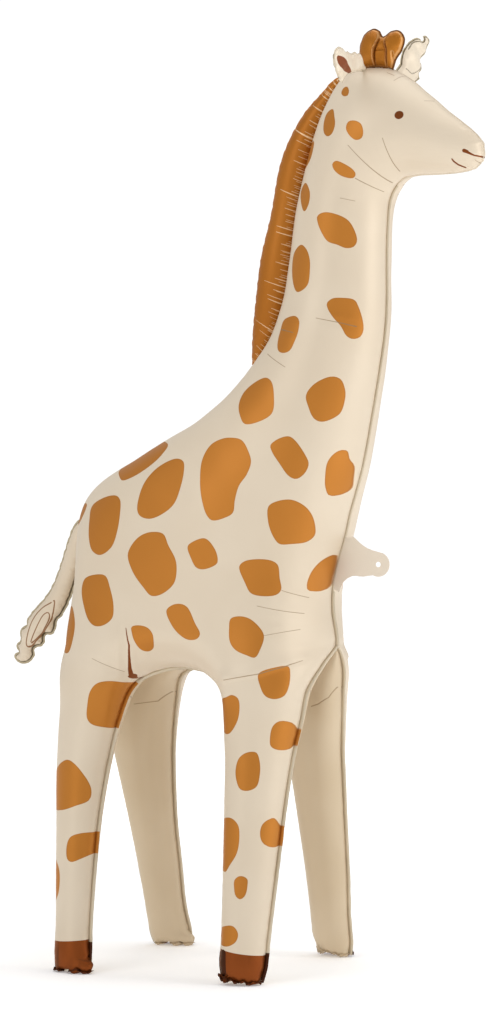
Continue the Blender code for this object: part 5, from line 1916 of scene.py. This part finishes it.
EAR_LEAF = ((337.2, 55.9), (342.3, 56.4), (347.4, 62.2), (350.9, 69.6), (350.9, 73.2), (344.8, 71.4),
            (339.5, 65.5), (337.1, 59.9))


def ear_outline(outline, start, heading, root):
    """An ear's outline closed along the side of the head, which a ray from outside finds."""
    length = math.hypot(*heading)
    direction = Vector((heading[0] / length, -abs(heading[1]) / length, 0))
    edge = []
    for up in np.linspace(*root, 5) * MIL:
        origin = Vector((start[0], -abs(start[1]), up)) + EAR_LAUNCH * direction
        hit = near_film.ray_cast(origin, -direction)[0]
        edge.append((EAR_LAUNCH + EAR_SINK - (hit - origin).length, up))
    traced = [on_plane(pixel, start, heading) for pixel in outline]
    return np.vstack([smooth_line(traced, EAR_STEP, closed=False), edge])


def ear_buckle(points):
    x, z = points.T
    return 0.0016 * np.sin(95 * x + 3) * np.sin(120 * z) + 0.0006 * np.sin(180 * x + 130 * z)


def on_pouch(film, pixels, root, heading):
    """Where pixels of the picture fall on a pouch, as (along, up) in its plane."""
    start = Vector((*root, 0))
    along = Vector((*heading, 0)).normalized()
    hits = [film.ray_cast(camera.location, sight_line(pixel))[0] for pixel in pixels]
    return [((hit - start).dot(along), hit.z) for hit in hits if hit]


EAR_BUCKLES = (
    ((426.5, 44.4), (425.4, 52), (419.9, 57.4), (421.4, 63.4), (415.6, 71), (408.6, 73.8), (402.5, 68.8)),
    ((406.6, 49.5), (409, 46.2), (414.5, 41.8), (420.5, 42.6)),
)
LINE_STEP = 0.001
leaf_lines = []


def leaf_values(points, side, film):
    """The leaf is traced once, on the near ear's film, and printed on both. The creases lie opposite."""
    if not leaf_lines:
        ear = EARS["right"]
        leaf_lines.append(smooth_line(on_pouch(film, EAR_LEAF, ear["start"], ear["heading"]), LINE_STEP))
    inside_leaf = inside_distance(leaf_lines[0], points)
    inside_leaf[side < 0] = -SPOT_MARGIN
    start, heading = (EARS["left"][key] for key in ("start", "heading"))
    lines = [smooth_line([on_plane(pixel, start, heading) for pixel in line], LINE_STEP, closed=False)
             for line in EAR_BUCKLES]
    gap = np.min([line_gap(line, points)[0] for line in lines], axis=0)
    return {"leaf_edge": inside_leaf, "buckle_gap": np.where(side < 0, gap, SPOT_MARGIN)}


def edge_colours(tree, colour, margin, share):
    """The bare edge outside a weld, and the dark line of the weld itself, which comes and goes."""
    inward = attribute_value(tree, "weld_depth")
    patches = noise(tree, object_place(tree), 60.0)
    edge = smooth_step(tree, inward, margin + 0.0004, margin - 0.0004)
    off_weld = maths(tree, "ABSOLUTE", maths(tree, "SUBTRACT", inward, margin))
    line = product(tree, smooth_step(tree, off_weld, 0.0010, 0.0003), smooth_step(tree, patches, 0.24, 0.44))
    colour = mix_colours(tree, product(tree, edge, share), colour, EDGE_OLIVE)
    return mix_colours(tree, product(tree, line, share), colour, EDGE_DARK)


LEAF_BROWN = (0.230, 0.062, 0.022, 1)
EDGE_DARK = (0.095, 0.072, 0.036, 1)
# Painted light: the ear's creams are paler than the body's, to make up for the shade the ears stand in.
EAR_CREAM_LIT = (0.760, 0.660, 0.520, 1)
EAR_PALE_LIT = (0.790, 0.695, 0.560, 1)
EDGE_OLIVE = (0.420, 0.352, 0.228, 1)
ear_foil, tree, shader = foil_material("ear_foil", 0.40)
skin = film_look(tree, 0.007, 0.0005)
printed_leaf = use_group(tree, print_edge, Inside=attribute_value(tree, "leaf_edge"))
colour = mix_colours(tree, skin["Tone"], EAR_CREAM_LIT, EAR_PALE_LIT)
# Painted shade: two dark lines in the creases of the far ear.
buckle_shade = smooth_step(tree, attribute_value(tree, "buckle_gap"), 0.0015, 0.0007)
colour = mix_colours(tree, product(tree, buckle_shade, 0.75), colour, EDGE_DARK)
colour = mix_colours(tree, printed_leaf["Mask"], colour, LEAF_BROWN)
plain_side = maths(tree, "MULTIPLY_ADD", attribute_value(tree, "far_side"), -0.8, 0.9)
paint(tree, shader, edge_colours(tree, colour, EAR_MARGIN, plain_side), skin["Height"])
for name, ear in EARS.items():
    closed = ear_outline(ear["outline"], ear["start"], ear["heading"], ear["root"])
    place = in_plane(ear["start"], ear["heading"])
    made = pouch("ear_film_" + name, closed, EAR_STEP, EAR_FULLNESS, EAR_MARGIN, place, leaf_values,
                 ear["seed"], ruffle=0.0007, flap=ear_buckle)
    finish_piece(made, "ear_" + name, ear_foil)

# %% [markdown]
# ## Tail
#
# A slim bag that hangs from the rump. Its tuft is only drawn: two long loops of brown line, one inside the
# other, on the wavy end of the bag.

# %% Tail pouch
TAIL = (
    (84, 560), (79.5, 573), (75.9, 583.8), (71.7, 596.4), (66.1, 609), (61.9, 616), (57.4, 621),
    (56.2, 627.3), (54.4, 632.6), (50.7, 634.9), (46.7, 634.8), (44.9, 638.2), (44.6, 642.9), (41.8, 646.4),
    (38, 646.9), (34.9, 648.8), (34.9, 654), (32.6, 659.5), (28.2, 662.9), (22.6, 663.7), (17.5, 661.8),
    (14.6, 657.4), (15.4, 653), (19, 651.6), (16.6, 647.6), (16.9, 643.2), (20.8, 640.4), (20, 635.7),
    (20.4, 630.6), (24, 625.9), (27, 624.3), (27, 619.4), (30.3, 614.4), (35.2, 608.1), (42.3, 600.4),
    (48.6, 592), (53.5, 583), (57.7, 572.4), (61.9, 559.7), (66.1, 545.7), (70.3, 533.1), (74.3, 524.4),
    (79, 519.5),
)
TAIL_STEP = 0.0026
TAIL_MARGIN = 0.0042
TAIL_FULLNESS = 0.80
TUFT_OUTER = ((50.4, 603), (43.5, 607), (36.5, 614), (30.8, 624), (27, 637), (26.4, 644.5), (28.4, 647),
              (33, 645), (38.8, 638), (46.5, 627.5), (51, 620), (53.6, 610), (54.2, 600.5))
TUFT_INNER = ((47.9, 612.5), (43.7, 614.6), (38, 624), (32.4, 637), (31, 643.4), (35.2, 639.9), (43.7, 630),
              (48.6, 620.2), (49.3, 614))
TUFT_GAP = (52, 601)


def tuft_values(points, side, film):
    outer, inner = (smooth_line(on_pouch(film, line, (0, 0), (1, 0)), LINE_STEP)
                    for line in (TUFT_OUTER, TUFT_INNER))
    gap = np.array(on_pouch(film, [TUFT_GAP], (0, 0), (1, 0))[0])
    return {"tuft_outer": inside_distance(outer, points), "tuft_inner": inside_distance(inner, points),
            "tuft_gap": np.linalg.norm(points - gap, axis=1)}


traced_tail = smooth_line([on_plane(pixel) for pixel in TAIL], TAIL_STEP, closed=False)
tail_outline = np.vstack([traced_tail, body_root(TAIL_ROOT, TAIL_STEP)[::-1]])
tail = pouch("tail_film", tail_outline, TAIL_STEP, TAIL_FULLNESS, TAIL_MARGIN, in_middle, tuft_values, 21,
             ruffle=0.0016, pucker_depth=0.0010)
TUFT_BROWN = (0.230, 0.095, 0.030, 1)
tail_foil, tree, shader = foil_material("tail_foil", 0.38)
skin = film_look(tree, 0.010, 0.0004)
off_outer = maths(tree, "ABSOLUTE", attribute_value(tree, "tuft_outer"))
off_inner = maths(tree, "ABSOLUTE", attribute_value(tree, "tuft_inner"))
outer_line = product(tree, smooth_step(tree, off_outer, 0.0013, 0.0008),
                     smooth_step(tree, attribute_value(tree, "tuft_gap"), 0.0020, 0.0030))
loops = greatest(tree, outer_line, smooth_step(tree, off_inner, 0.0011, 0.0007))
colour = mix_colours(tree, skin["Tone"], CREAM, CREAM_PALE)
colour = mix_colours(tree, product(tree, loops, 0.9), colour, TUFT_BROWN)
paint(tree, shader, edge_colours(tree, colour, TAIL_MARGIN, 0.85), skin["Height"])
finish_piece(tail, "tail", tail_foil)

# %% [markdown]
# ## Filling tab
#
# The tab on the chest is where air goes in: two films welded flat, with a round hole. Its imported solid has
# the right shape, so it stays and only gets the plain foil.

# %% Filling tab
TAB_PALE = (0.770, 0.680, 0.560, 1)
TAB_LIGHT = (0.800, 0.715, 0.600, 1)
tab_film = two_tone_foil("tab_film", 0.45, 0.05, 0.012, 0.0003, TAB_PALE, TAB_LIGHT)
tab = frame["nodes"]["valve_tab"]
for number in range(len(tab.material_slots)):
    tab.material_slots[number].material = tab_film
print("valve_tab: kept, now in", tab.material_slots[0].material.name)
